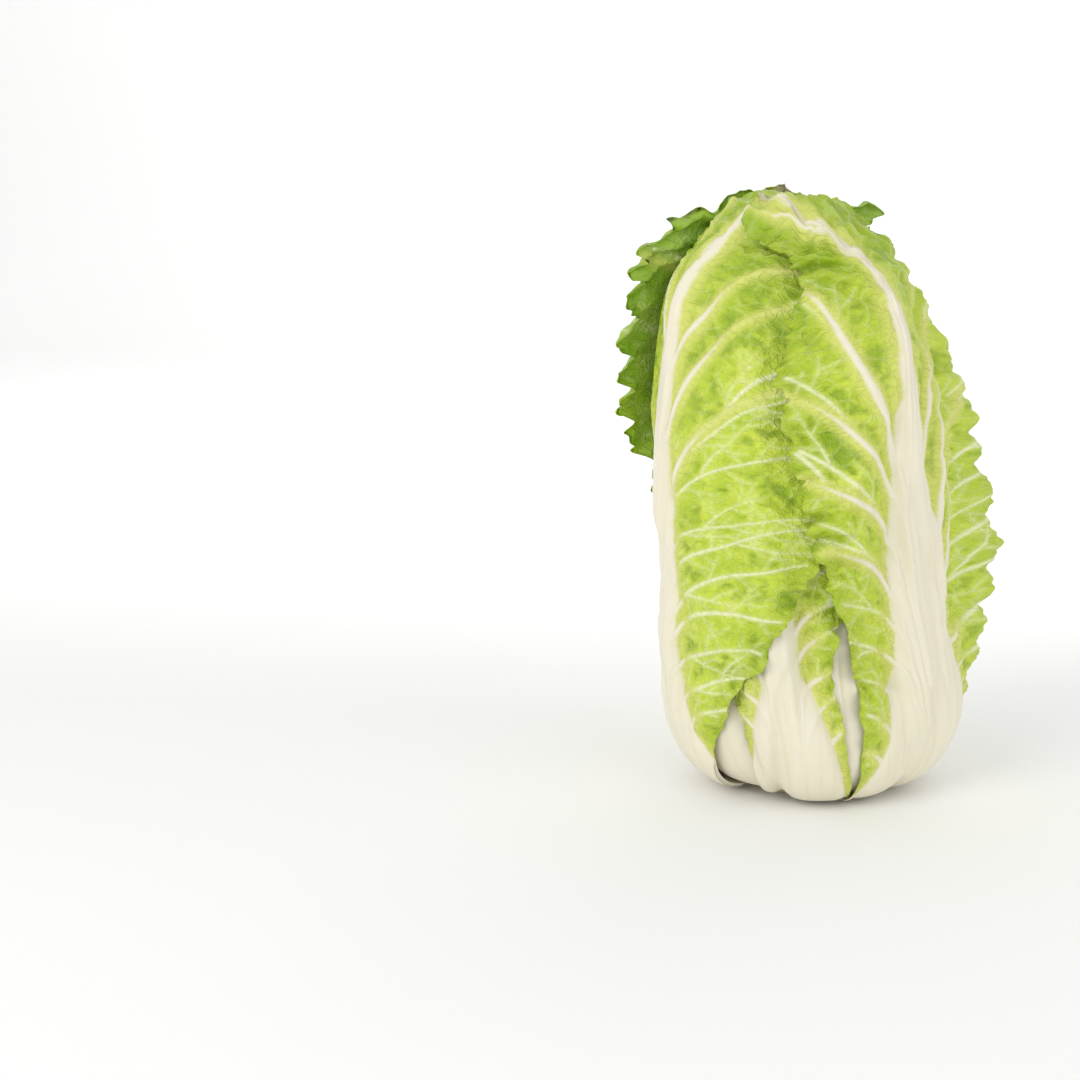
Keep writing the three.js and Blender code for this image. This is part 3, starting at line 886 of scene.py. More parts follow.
    def _branch(self, start: Array, heading: float, bend: float, half: float, reach: float,
                order: int) -> None:
        """Draws a branch and its own branches.

        Args:
            start: Where it leaves.
            heading: Its first direction.
            bend: How much it turns back over its length.
            half: Its half width where it leaves.
            reach: Its length in millimetres.
            order: 1 for a side vein's branch, 2 for a branch's.
        """
        rng = self.rng
        walked = np.arange(0, reach, self.step)
        sway = 7 * RAD * np.sin(walked / rng.uniform(3, 5) + rng.uniform(0, 6))
        headings = heading + bend * walked / reach + sway
        path = self._trace(start, headings)
        half = max(0.2, half)
        count = self._keep(path, np.linspace(half, 0.1, len(path)))
        if order > 1:
            return
        way = 1.0 if rng.random() < 0.5 else -1.0
        for k in range(3, count - 1, 3):
            lean = headings[k - 1] + way * rng.uniform(*HAIR.lean) * RAD
            self._branch(path[k], lean, -way * HAIR.bend * RAD, half * HAIR.thin,
                         rng.uniform(*HAIR.reach), 2)
            way = -way


@dataclass
class Blade:
    """One leaf's faces and what its finish reads, all as grids of rows and columns."""

    inner: Array  # points of the face towards the heart
    outer: Array
    stalk: Array  # millimetres off the stalk
    vein: Array  # millimetres off the nearest vein
    net: Array  # millimetres off the nearest border of the net
    rim: Array  # millimetres to the edge
    sunk: Array  # height of the crinkle
    flat: Array  # the leaf laid flat


@dataclass(frozen=True)
class Crinkle:
    """The blade's relief between its veins: depths, and lengths across and along the leaf."""

    panel: float = 0.9  # how far panels sink between the veins
    pillow: float = 0.45  # and between the borders of the net
    swell: tuple[float, float] = (11.0, 8.0)
    pucker: tuple[float, float] = (7.0, 4.6)
    blister: tuple[float, float] = (3.4, 2.6)
    fold: tuple[float, float] = (24.0, 9.0)
    crisp: tuple[float, float] = (3.6, 3.2)  # of the ruffle
    frill: tuple[float, float] = (5.5, 10.0)  # of the tip
    fringe: tuple[float, float] = (4.0, 7.0)  # of the line where the stalk ends and the blade starts


@dataclass(frozen=True)
class Margin:
    """The cut edge, in millimetres along it: large and small lobes, and teeth on them."""

    swings: int = 12  # how many slow waves a side has
    lobes: tuple[float, float] = (16.0, 6.6)
    drift: tuple[float, float] = (24.0, 9.0)  # over which the lobes' lengths vary
    teeth: tuple[float, float] = (1.9, 0.9)
    depths: tuple[float, float] = (0.35, 0.15)  # of the teeth
    seeds: float = 40.0  # apart in the noise, the left edge from the right


@dataclass
class Leaf:
    """One leaf, laid on the bed that the leaves under it make."""

    index: int  # its number, from the outermost in
    charts: Sequence[LeafMap]  # every leaf's map
    heights: Heights  # the head so far
    finish: bpy.types.Material
    crinkle: Crinkle = Crinkle()
    margin: Margin = Margin()
    vein_far: float = 6.0  # millimetres up to which the distance to a vein is measured
    white_far: float = 20.0  # and the distance to a vein's white heart
    lift: float = 12.0  # millimetres over the heart, where both are measured
    tile: int = 14  # rows and columns that are measured together

    def __post_init__(self) -> None:
        """Reads its place in the order."""
        self.spec, self.map = LEAVES[self.index], self.charts[self.index]
        self.over = self.charts[:self.index]
        self.noise = Noise(SEED + self.index)
        self.cells = Cells(SEED + 100 + self.index, SIZES.panel)

    def build(self) -> bpy.types.Object:
        """Makes the leaf and dresses it.

        Returns:
            The leaf's closed shell.
        """
        self.heights.settle()
        piece = self._shell(self.shape())
        return dress(piece, self.spec.node, self.finish)

    def shape(self) -> Blade:
        """Lays the leaf out and adds its relief.

        The inner face is the bed, the standing-off of a free edge, the ruffle and the crinkle. The
        outer one lies over it by the thickness, the veins' ridges and the stalk's long ribs.

        Returns:
            The finished grids.
        """
        spec, chart = self.spec, self.map
        along = np.linspace(0, 1, spec.rows + 1)[:, None] + np.zeros((1, spec.columns + 1))
        column = np.linspace(-1, 1, spec.columns + 1)[None, :] + np.zeros((spec.rows + 1, 1))
        width = chart.half_width(column, along) * HEAD.flat_scale
        flat = np.stack([column * width, chart.climb_share(column, along) * chart.length], -1)
        across = column * (1 + self._cut(column, along) / width)
        x, y = chart.to_place(across, along)
        under = self._sheltered(x, y, SIZES.held)
        hidden = self._sheltered(x, y, SIZES.covered)
        vein, ridge, white = self._veins(flat, across, along)
        stalk = chart.off_stalk(across, along) + 0.9 * self._rough(flat, self.crinkle.fringe, 3)
        stalk = np.minimum(stalk, white)
        green = smooth(-1.0, 4.0, stalk) * smooth(0.0, 0.1, along)
        edge = np.minimum((1 - np.abs(column)) * width, (1 - along) * chart.length)
        bed = self.heights.read(x, y) + gap_at(x, y)
        bed = bed + (1 - under) * self._standing_off(across, along)
        bed = bed + (1 - hidden) * self._ruffle(column, along, flat, edge)
        net = self.cells.border(*self._warped(flat))
        sunk = self._relief(flat, across, vein, net) * green
        thin = SIZES.rim + (1 - SIZES.rim) * smooth(0, 9, edge)
        thick = chart.thickness(across, along) - SIZES.blade * (1 - thin)
        ratio = chart.stalk_ratio(across, along)
        ribs = SIZES.stalk_ribs * np.cos(ratio * math.pi * 4.6) * (1 - smooth(0.85, 1.05, ratio))
        ribs = ribs * smooth(0.22, 0.45, along)
        bed = bed + sunk * (1 - hidden)
        top = bed + thick + (ridge + ribs) * (1 - hidden)
        self.heights.lay(chart, top)
        return Blade(HEAD.at(x, y, bed), HEAD.at(x, y, top), stalk, vein, net, edge, sunk, flat)

    def _warped(self, flat: Array) -> tuple[Array, Array]:
        """Bends the flat leaf's coordinates a little, so that its cells aren't straight-sided."""
        x, y = flat[..., 0], flat[..., 1]
        return x + 1.3 * self.noise.at(x / 4 + 31, y / 4), y + 1.3 * self.noise.at(x / 4, y / 4 + 57)

    def _lobes(self, column: Array, along: Array) -> tuple[Array, Array]:
        """The edge's round lobes with narrow notches between them, and smaller ones on them.

        Args:
            column: Columns of the grid.
            along: Places along the leaf.

        Returns:
            The large and the small lobes: 0.5 on a lobe, down to -0.5 in a notch.
        """
        form, run = self.margin, along * self.map.length
        side = np.sign(column) * form.seeds
        large = math.pi * (run / form.lobes[0] + 0.9 * self.noise.at(run / form.drift[0], side))
        small = math.pi * (run / form.lobes[1] + 0.8 * self.noise.at(run / form.drift[1], side + 5))
        return 0.5 - np.abs(np.cos(large)) ** 4, 0.5 - np.abs(np.cos(small)) ** 2.5

    def _cut(self, column: Array, along: Array) -> Array:
        """How far the cut edge wanders: lobes and fine teeth.

        Args:
            column: Columns of the grid.
            along: Places along the leaf.

        Returns:
            Millimetres outwards, fading to nothing inside the edge and at the root.
        """
        form, run, wave = self.margin, along * self.map.length, self.spec.wave
        side = np.sign(column) * form.seeds
        swing = 0.15 - 0.5 * np.cos(2 * math.pi * form.swings * along)
        large, small = self._lobes(column, along)
        teeth = (form.depths[0] * self.noise.at(run / form.teeth[0], side + 9)
                 + form.depths[1] * self.noise.at(run / form.teeth[1], side + 13))
        lobes = (0.8 + 0.7 * wave) * large + (0.5 + 0.3 * wave) * small
        edge = smooth(0.8, 1, np.abs(column)) * smooth(0.04, 0.16, along)
        return edge * (0.3 * SIZES.ragged * swing + lobes + teeth)

    def _sheltered(self, x: Array, y: Array, fade: tuple[float, float]) -> Array:
        """Where leaves further out cover this one.

        Args:
            x: First coordinates of places.
            y: Second coordinates.
            fade: Distances past a covering edge where the cover is whole and where it is gone.

        Returns:
            1 under another leaf, 0 in the open.
        """
        cover = np.zeros(x.shape)
        for other in self.over:
            across, along = other.from_place(x, y)
            gone = smooth(SIZES.ragged + fade[0], SIZES.ragged + fade[1], other.outside(across, along))
            cover = np.maximum(cover, 1 - gone)
        return cover

    def _standing_off(self, across: Array, along: Array) -> Array:
        """How far a free edge stands off the head.

        Args:
            across: Places across the leaf.
            along: Places along it.

        Returns:
            Millimetres off the bed.
        """
        out = smooth(0.5, 1, np.abs(across))
        tall = smooth(*self.spec.rise, along) * (1 - self.spec.fade * smooth(0.6, 1, along))
        stands = np.where(across < 0, *self.spec.open)
        return stands * out * out * tall + 2.5 * smooth(0.86, 1, along)

    def _ruffle(self, column: Array, along: Array, flat: Array, edge: Array) -> Array:
        """The edge's waves: a lobe to each notch of the cut, and finer ones over it.

        Args:
            column: Columns of the grid.
            along: Places along the leaf.
            flat: The leaf laid flat, in millimetres.
            edge: Millimetres to the edge.

        Returns:
            Millimetres off the bed.
        """
        wave = self.spec.wave
        large, small = self._lobes(column, along)
        near, close = np.exp(-edge / (7.0 + 2.5 * wave)), np.exp(-edge / (3.0 + 0.9 * wave))
        crisp = self._rough(flat, self.crinkle.crisp, 2, 17)
        frill = smooth(0.74, 0.95, along) * (0.2 + 1.1 * self._rough(flat, self.crinkle.frill, 3))
        waves = near * (0.75 * large + 0.2 + 0.32 * crisp) + 0.25 * close * small
        return SIZES.ruffle * (wave * smooth(0.05, 0.2, along) * waves + frill)

    def _rough(self, flat: Array, size: tuple[float, float], octaves: int, right: float = 0,
               up: float = 0) -> Array:
        """Reads the leaf's own noise on the leaf laid flat, so many millimetres to a unit of it."""
        return self.noise.layered(flat[..., 0] / size[0] + right, flat[..., 1] / size[1] + up, octaves)

    def _relief(self, flat: Array, across: Array, vein: Array, net: Array) -> Array:
        """The blade's crinkle: panels sunk between the veins, blisters, creases and folds.

        Args:
            flat: The leaf laid flat, in millimetres.
            across: Places across the leaf.
            vein: Millimetres to the nearest vein's edge.
            net: Millimetres to the nearest border of the net.

        Returns:
            Millimetres off the smooth blade.
        """
        form = self.crinkle
        out = smooth(0.35, 1, np.abs(across))
        sunk = -form.panel * smooth(0.0, 3.0, vein) - form.pillow * smooth(0.0, 1.3, net)
        swell = (0.7 + 0.6 * out) * self._rough(flat, form.swell, 3)
        pucker = (1.6 + 1.6 * out) * np.abs(self._rough(flat, form.pucker, 2, 40))
        blister = (0.5 + 0.4 * out) * np.abs(self._rough(flat, form.blister, 2, 9, 70))
        fold = (0.4 + 1.2 * out) * self._rough(flat, form.fold, 2, 5)
        return sunk + swell + (pucker + blister - 0.5) * smooth(0, 2.5, vein) + fold

    def _veins(self, flat: Array, across: Array, along: Array) -> tuple[Array, Array, Array]:
        """Measures each place against the veins nearby, tile by tile.

        Args:
            flat: The leaf laid flat, in millimetres.
            across: Places across the leaf.
            along: Places along it.

        Returns:
            Millimetres to the nearest vein's edge, negative on it, the vein's ridge, and
            millimetres to the nearest white heart of a vein.
        """
        tree = VeinTree(SEED * 3 + self.index, self.map).grow(self.spec.ribs)
        starts, ends, halves, hearts = tree[:, :2], tree[:, 2:4], tree[:, 4], tree[:, 5]
        first, last = (HEAD.at(*self.map.to_place(*self.map.unflatten(p[:, 0], p[:, 1])), self.lift)
                       for p in (starts, ends))
        points = HEAD.at(*self.map.to_place(across, along), self.lift)
        low, high = np.minimum(starts, ends) - self.vein_far, np.maximum(starts, ends) + self.vein_far
        vein, ridge = np.full(across.shape, self.vein_far), np.zeros(across.shape)
        white = np.full(across.shape, self.white_far)
        for row in range(0, across.shape[0], self.tile):
            for column in range(0, across.shape[1], self.tile):
                part = (slice(row, row + self.tile), slice(column, column + self.tile))
                near, shape = flat[part].reshape(-1, 2), vein[part].shape
                pick = ((low < near.max(0)) & (high > near.min(0))).all(1)
                if not pick.any():
                    continue
                start, half = first[pick], halves[pick]
                run = last[pick] - start
                away = points[part].reshape(-1, 1, 3) - start
                share = np.clip((away * run).sum(-1) / np.maximum((run * run).sum(-1), 1e-6), 0, 1)
                gap = np.linalg.norm(away - share[..., None] * run, axis=-1)
                vein[part] = np.minimum(self.vein_far, (gap - half).min(1)).reshape(shape)
                white[part] = np.minimum(self.white_far, (gap - hearts[pick]).min(1)).reshape(shape)
                raised = np.exp(-((gap / (0.85 * half + 0.35)) ** 2)) * (0.12 + 0.75 * half)
                ridge[part] = raised.max(1).reshape(shape)
        return vein, ridge * smooth(0.06, 0.2, along), white

    def _shell(self, blade: Blade) -> bpy.types.Object:
        """Closes the leaf's two faces. The inner one has a point for every second of the outer's.

        Args:
            blade: The leaf's grids.

        Returns:
            The object.
        """
        rows, columns = blade.stalk.shape
        coarse = (slice(None, None, 2), slice(None, None, 2))
        index = np.arange(rows * columns).reshape(rows, columns)
        under = np.arange(index[coarse].size).reshape(index[coarse].shape) + index.size
        rim, low = (np.concatenate([g[0, :-1], g[:-1, -1], g[-1, :0:-1], g[:0:-1, 0]])
                    for g in (index, under))
        fine = rim.reshape(-1, 2)
        after, low_after = np.roll(fine[:, 0], -1), np.roll(low, -1)
        fans = ((fine[:, 0], fine[:, 1], low), (fine[:, 1], low_after, low),
                (fine[:, 1], after, low_after))
        tris = np.concatenate([np.stack(f, -1) for f in fans])
        inward = grid_faces(*under.shape, index.size, flip=True)
        quads = np.concatenate([grid_faces(rows, columns), inward])
        points = np.concatenate([blade.outer.reshape(-1, 3), blade.inner[coarse].reshape(-1, 3)])
        values = {key: np.concatenate([getattr(blade, key).ravel(), getattr(blade, key)[coarse].ravel()])
                  for key in ("stalk", "vein", "net", "rim", "sunk")}
        flat = np.concatenate([blade.flat.reshape(-1, 2), blade.flat[coarse].reshape(-1, 2)])
        return make_solid(f"{self.spec.node}_fine", points, quads, tris, values, flat)


def srgb(red: int, green: int, blue: int) -> Colour:
    """Turns a screen colour into the linear one that a shader takes.

    Args:
        red: 0 to 255.
        green: 0 to 255.
        blue: 0 to 255.

    Returns:
        Linear red, green, blue and an alpha of 1.
    """
    linear = [c / 12.92 if c <= 0.04045 else ((c + 0.055) / 1.055) ** 2.4
              for c in (red / 255, green / 255, blue / 255)]
    return (*linear, 1.0)


class Graph:
    """Builds a material's nodes."""

    def __init__(self, name: str) -> None:
        """Starts an empty material.

        Args:
            name: The material's name.
        """
        self.material = bpy.data.materials.new(name)
        self.material.use_nodes = True
        self.nodes = self.material.node_tree.nodes
        self.links = self.material.node_tree.links
        self.nodes.clear()

    def add(self, kind: str, inputs: dict[str | int, object] | None = None,
            **settings: object) -> bpy.types.Node:
        """Adds a node.

        Args:
            kind: Blender's name for its type.
            inputs: Sockets to fill, each with a value or with another node's output.
            settings: Properties of the node.

        Returns:
            The node.
        """
        node = self.nodes.new(kind)
        for key, value in settings.items():
            setattr(node, key, value)
        for key, value in (inputs or {}).items():
            if isinstance(value, bpy.types.NodeSocket):
                self.links.new(value, node.inputs[key])
            else:
                node.inputs[key].default_value = value
        return node

    def value(self, name: str) -> bpy.types.NodeSocket:
        """Reads a number that the mesh carries."""
        return self.add("ShaderNodeAttribute", attribute_name=name).outputs["Fac"]

    def math(self, operation: str, *values: object) -> bpy.types.NodeSocket:
        """Adds a sum or the like of numbers or sockets."""
        return self.add("ShaderNodeMath", dict(enumerate(values)), operation=operation).outputs[0]

    def step(self, value: object, low: float, high: float, start: float = 0.0,
             end: float = 1.0) -> bpy.types.NodeSocket:
        """Adds a smooth step from start to end, as the value goes from low to high."""
        inputs = {"Value": value, "From Min": low, "From Max": high, "To Min": start, "To Max": end}
        return self.add("ShaderNodeMapRange", inputs, interpolation_type="SMOOTHSTEP").outputs["Result"]

    def mix(self, share: object, a: object, b: object, blend: str = "MIX") -> bpy.types.NodeSocket:
        """Mixes two colours.

        Args:
            share: How much of the second.
            a: The first colour.
            b: The second.
            blend: Blender's name for the way.

        Returns:
            The mixed colour.
        """
        node = self.add("ShaderNodeMix", data_type="RGBA", blend_type=blend)
        for socket, value in ((node.inputs[0], share), (node.inputs[6], a), (node.inputs[7], b)):
            if isinstance(value, bpy.types.NodeSocket):
                self.links.new(value, socket)
            else:
                socket.default_value = value
        return node.outputs[2]

    def noise(self, vector: object, scale: float, detail: float = 2.0,
              rough: float = 0.5) -> bpy.types.NodeSocket:
        """Adds a noise of about 0 to 1; the greater its scale, the finer it is."""
        inputs = {"Vector": vector, "Scale": scale, "Detail": detail, "Roughness": rough}
        return self.add("ShaderNodeTexNoise", inputs).outputs["Fac"]

    def scaled(self, vector: object, by: Point) -> bpy.types.NodeSocket:
        """Stretches coordinates, each by its own factor."""
        return self.add("ShaderNodeVectorMath", {0: vector, 1: by}, operation="MULTIPLY").outputs[0]

    def bump(self, height: object, strength: float, distance: float) -> bpy.types.NodeSocket:
        """Turns a height into a bumped normal, with so many metres to a unit of height."""
        inputs = {"Strength": strength, "Distance": distance, "Height": height}
        return self.add("ShaderNodeBump", inputs).outputs["Normal"]

    def finish(self, inputs: dict[str, object]) -> bpy.types.Material:
        """Ends the material with its shader.

        Args:
            inputs: What the shader's sockets take.

        Returns:
            The material.
        """
        shader = self.add("ShaderNodeBsdfPrincipled", inputs)
        self.add("ShaderNodeOutputMaterial", {"Surface": shader.outputs["BSDF"]})
        return self.material


@dataclass(frozen=True)
class LeafFinish:
    """The colours of a leaf's blade, veins and stalk.

    The mesh carries what they follow, in millimetres: the distances off the stalk, off the nearest
    vein, off the nearest border of the net and to the edge, and the height of the crinkle, which the
    painted shade in the hollows and the painted highlight on the bulges follow. The UV map is the leaf
    laid flat, 100 mm to a unit.
    """

    name: str
    # light green of patches and the low blade, and also the painted highlight on the crinkle's bulges
    light: Colour
    green: Colour
    # deep green of the top of the blade and towards its edge, and also the painted shade in the crinkle's
    # hollows
    deep: Colour
    vein: Colour = srgb(233, 236, 186)
    fringe: Colour = srgb(214, 220, 116)
    stalk: Colour = srgb(237, 231, 210)
    stalk_shade: Colour = srgb(224, 214, 182)
    patches: float = 9.0  # scales of the noises, to a unit of the UV map
    mesh: float = 42.0
    streaks: float = 34.0
    grain: float = 70.0
    streak_length: float = 0.05  # a streak's width, as a share of its length
    bump: float = 0.0008
    roughness: tuple[float, float] = (0.42, 0.5)  # of the stalk and of the blade
    specular: float = 0.3
    glow: float = 0.1
    glow_depths: Point = (0.6, 0.9, 0.2)
    glow_scale: float = 0.003

    def build(self) -> bpy.types.Material:
        """Makes the material.

        Returns:
            The material: white stalk with long streaks, yellow-green fringe, green blade with a
            fine raised net between its veins, painted shade in its hollows and a painted highlight on its
            bulges.
        """
        g = Graph(self.name)
        uv = g.add("ShaderNodeUVMap", uv_map="flat").outputs["UV"]
        stalk, vein, rim = (g.value(name) for name in ("stalk", "vein", "rim"))
        edges = g.add("ShaderNodeTexVoronoi", {"Vector": uv, "Scale": self.mesh, "Randomness": 1.0},
                      feature="DISTANCE_TO_EDGE").outputs["Distance"]
        mesh = g.step(edges, 0.0, 0.16, 1.0, 0.0)
        net = g.step(g.value("net"), 0.05, 0.45, 1.0, 0.0)
        green = self._green(g, uv)
        green = g.mix(g.math("MULTIPLY", mesh, 0.07), green, self.vein)
        green = g.mix(g.math("MULTIPLY", net, 0.16), green, self.vein)
        green = g.mix(g.step(rim, 0.0, 14.0, 0.3, 0.0), green, self.deep)
        green = g.mix(g.step(vein, 0.0, 1.4, 0.2, 0.0), green, self.vein)
        green = g.mix(g.step(vein, -0.65, 0.28, 0.97, 0.0), green, self.vein)
        green = g.mix(g.step(stalk, 0.5, 5.5), self.fringe, green)
        streak = g.noise(g.scaled(uv, (1.0, self.streak_length, 1.0)), self.streaks, 2.0, 0.5)
        white = g.mix(g.step(streak, 0.4, 0.8, 0.0, 0.5), self.stalk, self.stalk_shade)
        on_blade = g.step(stalk, -0.5, 1.1)
        net_height = g.math("ADD", g.math("MULTIPLY", net, 0.4), g.math("MULTIPLY", mesh, 0.5))
        grain = g.math("MULTIPLY", g.noise(uv, self.grain, 2.0), 0.6)
        blade_height = g.math("MULTIPLY", g.math("ADD", net_height, grain), on_blade)
        stalk_height = g.math("MULTIPLY", streak, g.step(on_blade, 0.0, 1.0, 0.12, 0.0))
        height = g.math("ADD", blade_height, stalk_height)
        return g.finish({
            "Base Color": g.mix(on_blade, white, green),
            "Roughness": g.step(on_blade, 0.0, 1.0, *self.roughness),
            "Normal": g.bump(height, 0.7, self.bump), "Specular IOR Level": self.specular,
            "Subsurface Weight": self.glow, "Subsurface Radius": self.glow_depths,
            "Subsurface Scale": self.glow_scale})

    def _green(self, g: Graph, uv: bpy.types.NodeSocket) -> bpy.types.NodeSocket:
        """Mixes the blade's green: patchy, light low down and deep at the top, with painted shade in the
        hollows of the crinkle and a painted highlight on its bulges.

        Args:
            g: The material's nodes.
            uv: The leaf laid flat.

        Returns:
            The colour between the veins.
        """
        up = g.add("ShaderNodeSeparateXYZ", {"Vector": uv}).outputs["Y"]
        sunk = g.value("sunk")
        patch = g.noise(uv, self.patches, 3.0, 0.55)
        green = g.mix(g.step(patch, 0.32, 0.68), self.green, self.light)
        green = g.mix(g.step(up, 0.35, 0.95, 0.45, 0.0), green, self.light)
        green = g.mix(g.step(up, 1.5, 2.2, 0.0, 0.5), green, self.deep)
        # painted shade: deep green where the crinkle sinks into hollows
        green = g.mix(g.step(sunk, -0.7, -2.2, 0.0, 0.75), green, self.deep)
        # painted highlight: light green where the crinkle bulges out
        return g.mix(g.step(sunk, -0.3, 1.4, 0.0, 0.5), green, self.light)


@dataclass(frozen=True)
class CutFinish:
    """The cut stem: pale, with rings and a slight brown at the rim, on its place in metres."""

    name: str = "cut_stem_finish"
    pale: Colour = srgb(238, 230, 204)
    ring: Colour = srgb(222, 209, 170)
    brown: Colour = srgb(188, 160, 110)
    rings: float = 900.0  # radians of the rings' wave to a metre
    wander: float = 5.0  # and how far the rings stray, in radians
    rim: tuple[float, float] = (0.021, 0.027)

    def build(self) -> bpy.types.Material:
        """Makes the material.

        Returns:
            The material.
        """
        g = Graph(self.name)
        where = g.add("ShaderNodeTexCoord").outputs["Object"]
        level = g.scaled(where, (1.0, 1.0, 0.0))
        far = g.add("ShaderNodeVectorMath", {0: level}, operation="LENGTH").outputs["Value"]
        wobble = g.noise(where, 90.0, 3.0)
        wave = g.math("ADD", g.math("MULTIPLY", far, self.rings), g.math("MULTIPLY", wobble, self.wander))
        ring = g.math("SINE", wave)
        colour = g.mix(g.step(ring, -1.0, 1.0), self.pale, self.ring)
        colour = g.mix(g.step(far, *self.rim, 0.0, 0.55), colour, self.brown)
        normal = g.bump(g.math("ADD", ring, wobble), 0.4, 0.0006)
        return g.finish({"Base Color": colour, "Roughness": 0.55, "Normal": normal})


FINISHES: dict[Role, LeafFinish] = {
    Role.OUTER: LeafFinish(
        "leaf_finish", srgb(207, 223, 74), srgb(183, 208, 52), srgb(128, 162, 26)),
    Role.WRAPPER: LeafFinish(
        "wrapper_finish", srgb(192, 218, 86), srgb(164, 200, 62), srgb(124, 168, 42)),
    Role.HEART: LeafFinish(
        "heart_finish", srgb(232, 232, 150), srgb(214, 220, 118), srgb(190, 204, 92)),
}


def grid_faces(rows: int, columns: int, first: int = 0, flip: bool = False) -> Array:
    """The faces of a grid of points.

    Args:
        rows: Rows of points.
        columns: Columns of points.
        first: The number of the first point.
        flip: Turns the faces round.

    Returns:
        Four point numbers a face.
    """
    r, c = np.meshgrid(np.arange(rows - 1), np.arange(columns - 1), indexing="ij")
    a = (first + r * columns + c).ravel()
    quads = np.stack([a, a + 1, a + columns + 1, a + columns], -1)
    return quads[:, ::-1] if flip else quads


def ring_faces(rows: int, sides: int) -> tuple[Array, Array]:
    """The faces of rings of points, one over the other, closed by one point at each end.

    Args:
        rows: How many rings.
        sides: Points in a ring.

    Returns:
        Four point numbers a face between the rings, and three a face at the ends. After the rings'
        points come the one that closes the first ring and the one that closes the last.
    """
    index = np.arange(rows * sides).reshape(rows, sides)
    after = np.roll(index, -1, 1)
    quads = np.stack([index[:-1], after[:-1], after[1:], index[1:]], -1).reshape(-1, 4)
    first, last = np.full(sides, index.size), np.full(sides, index.size + 1)
    ends = [np.stack([after[0], index[0], first], -1), np.stack([index[-1], after[-1], last], -1)]
    return quads, np.concatenate(ends)


def make_solid(name: str, points: Array, quads: Array, tris: Array, values: dict[str, Array],
               flat: Array | None) -> bpy.types.Object:
    """Makes an object of four-sided and three-sided faces.

    Args:
        name: The object's name.
        points: Points in millimetres.
        quads: Four point numbers a face.
        tris: Three point numbers a face.
        values: Numbers that its finish reads, one a point.
        flat: The surface laid flat, in millimetres.

    Returns:
        The object, linked to the scene.
    """
    mesh = bpy.data.meshes.new(name)
    mesh.vertices.add(len(points))
    mesh.vertices.foreach_set("co", (points * MM).astype(np.float32).ravel())
    around = np.concatenate([quads.ravel(), tris.ravel()]).astype(np.int32)
    sizes = np.concatenate([np.full(len(quads), 4), np.full(len(tris), 3)])
    mesh.loops.add(len(around))
    mesh.loops.foreach_set("vertex_index", around)
    mesh.polygons.add(len(sizes))
    mesh.polygons.foreach_set("loop_start", (np.cumsum(sizes) - sizes).astype(np.int32))
    mesh.update(calc_edges=True)
    mesh.shade_smooth()
    for key, value in values.items():
        numbers = mesh.attributes.new(key, "FLOAT", "POINT").data
        numbers.foreach_set("value", value.astype(np.float32).ravel())
    if flat is not None:
        layer = mesh.uv_layers.new(name="flat")
        layer.data.foreach_set("uv", (flat[around] / UV_UNIT).astype(np.float32).ravel())
    piece = bpy.data.objects.new(name, mesh)
    bpy.context.scene.collection.objects.link(piece)
    return piece


def dress(piece: bpy.types.Object, node: str, finish: bpy.types.Material) -> bpy.types.Object:
    """Gives a piece its finish and its place in the frame.

    Args:
        piece: The piece.
        node: The frame's node that it stands for.
        finish: Its material.

    Returns:
        The piece.
    """
    piece.data.materials.append(finish)
    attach(piece, "root")
    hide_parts(node)
    log.info("%s stands for %s: %d faces", piece.name, node, len(piece.data.polygons))
    return piece


@dataclass
class CutStem:
    """The cut stem: a short drum with a chamfered rim that dips a little here and there."""

    finish: bpy.types.Material
    radii: tuple[float, ...] = (0.2, 8, 16, 22, 25.2, 26.4, 27, 26.8, 26.1, 24.2, 12, 0.2)
    levels: tuple[float, ...] = (0, 0, 0, 0, 0, 0.5, 1.6, 3.0, 4.3, 5.4, 5.4, 5.4)
    sides: int = 96
    dips: int = 5
    dip: float = 0.012  # as a share of the radius

    def build(self) -> bpy.types.Object:
        """Turns the outline round the axis and dresses it.

        Returns:
            The stem.
        """
        turn = 2 * math.pi * np.arange(self.sides) / self.sides
        outline, level = np.array(self.radii)[:, None], np.array(self.levels)[:, None]
        radius = outline * (1 - self.dip * (1 + np.cos(turn * self.dips + 1)) * smooth(10, 25, outline))
        height = np.tile(level, (1, self.sides))
        points = np.stack([radius * np.sin(turn), -radius * np.cos(turn), height], -1)
        quads, tris = ring_faces(len(self.radii), self.sides)
        middles = [[0, 0, self.levels[0]], [0, 0, self.levels[-1]]]
        everything = np.concatenate([points.reshape(-1, 3), middles])
        piece = make_solid("stem_fine", everything, quads, tris, {}, None)
        return dress(piece, "cut_stem", self.finish)


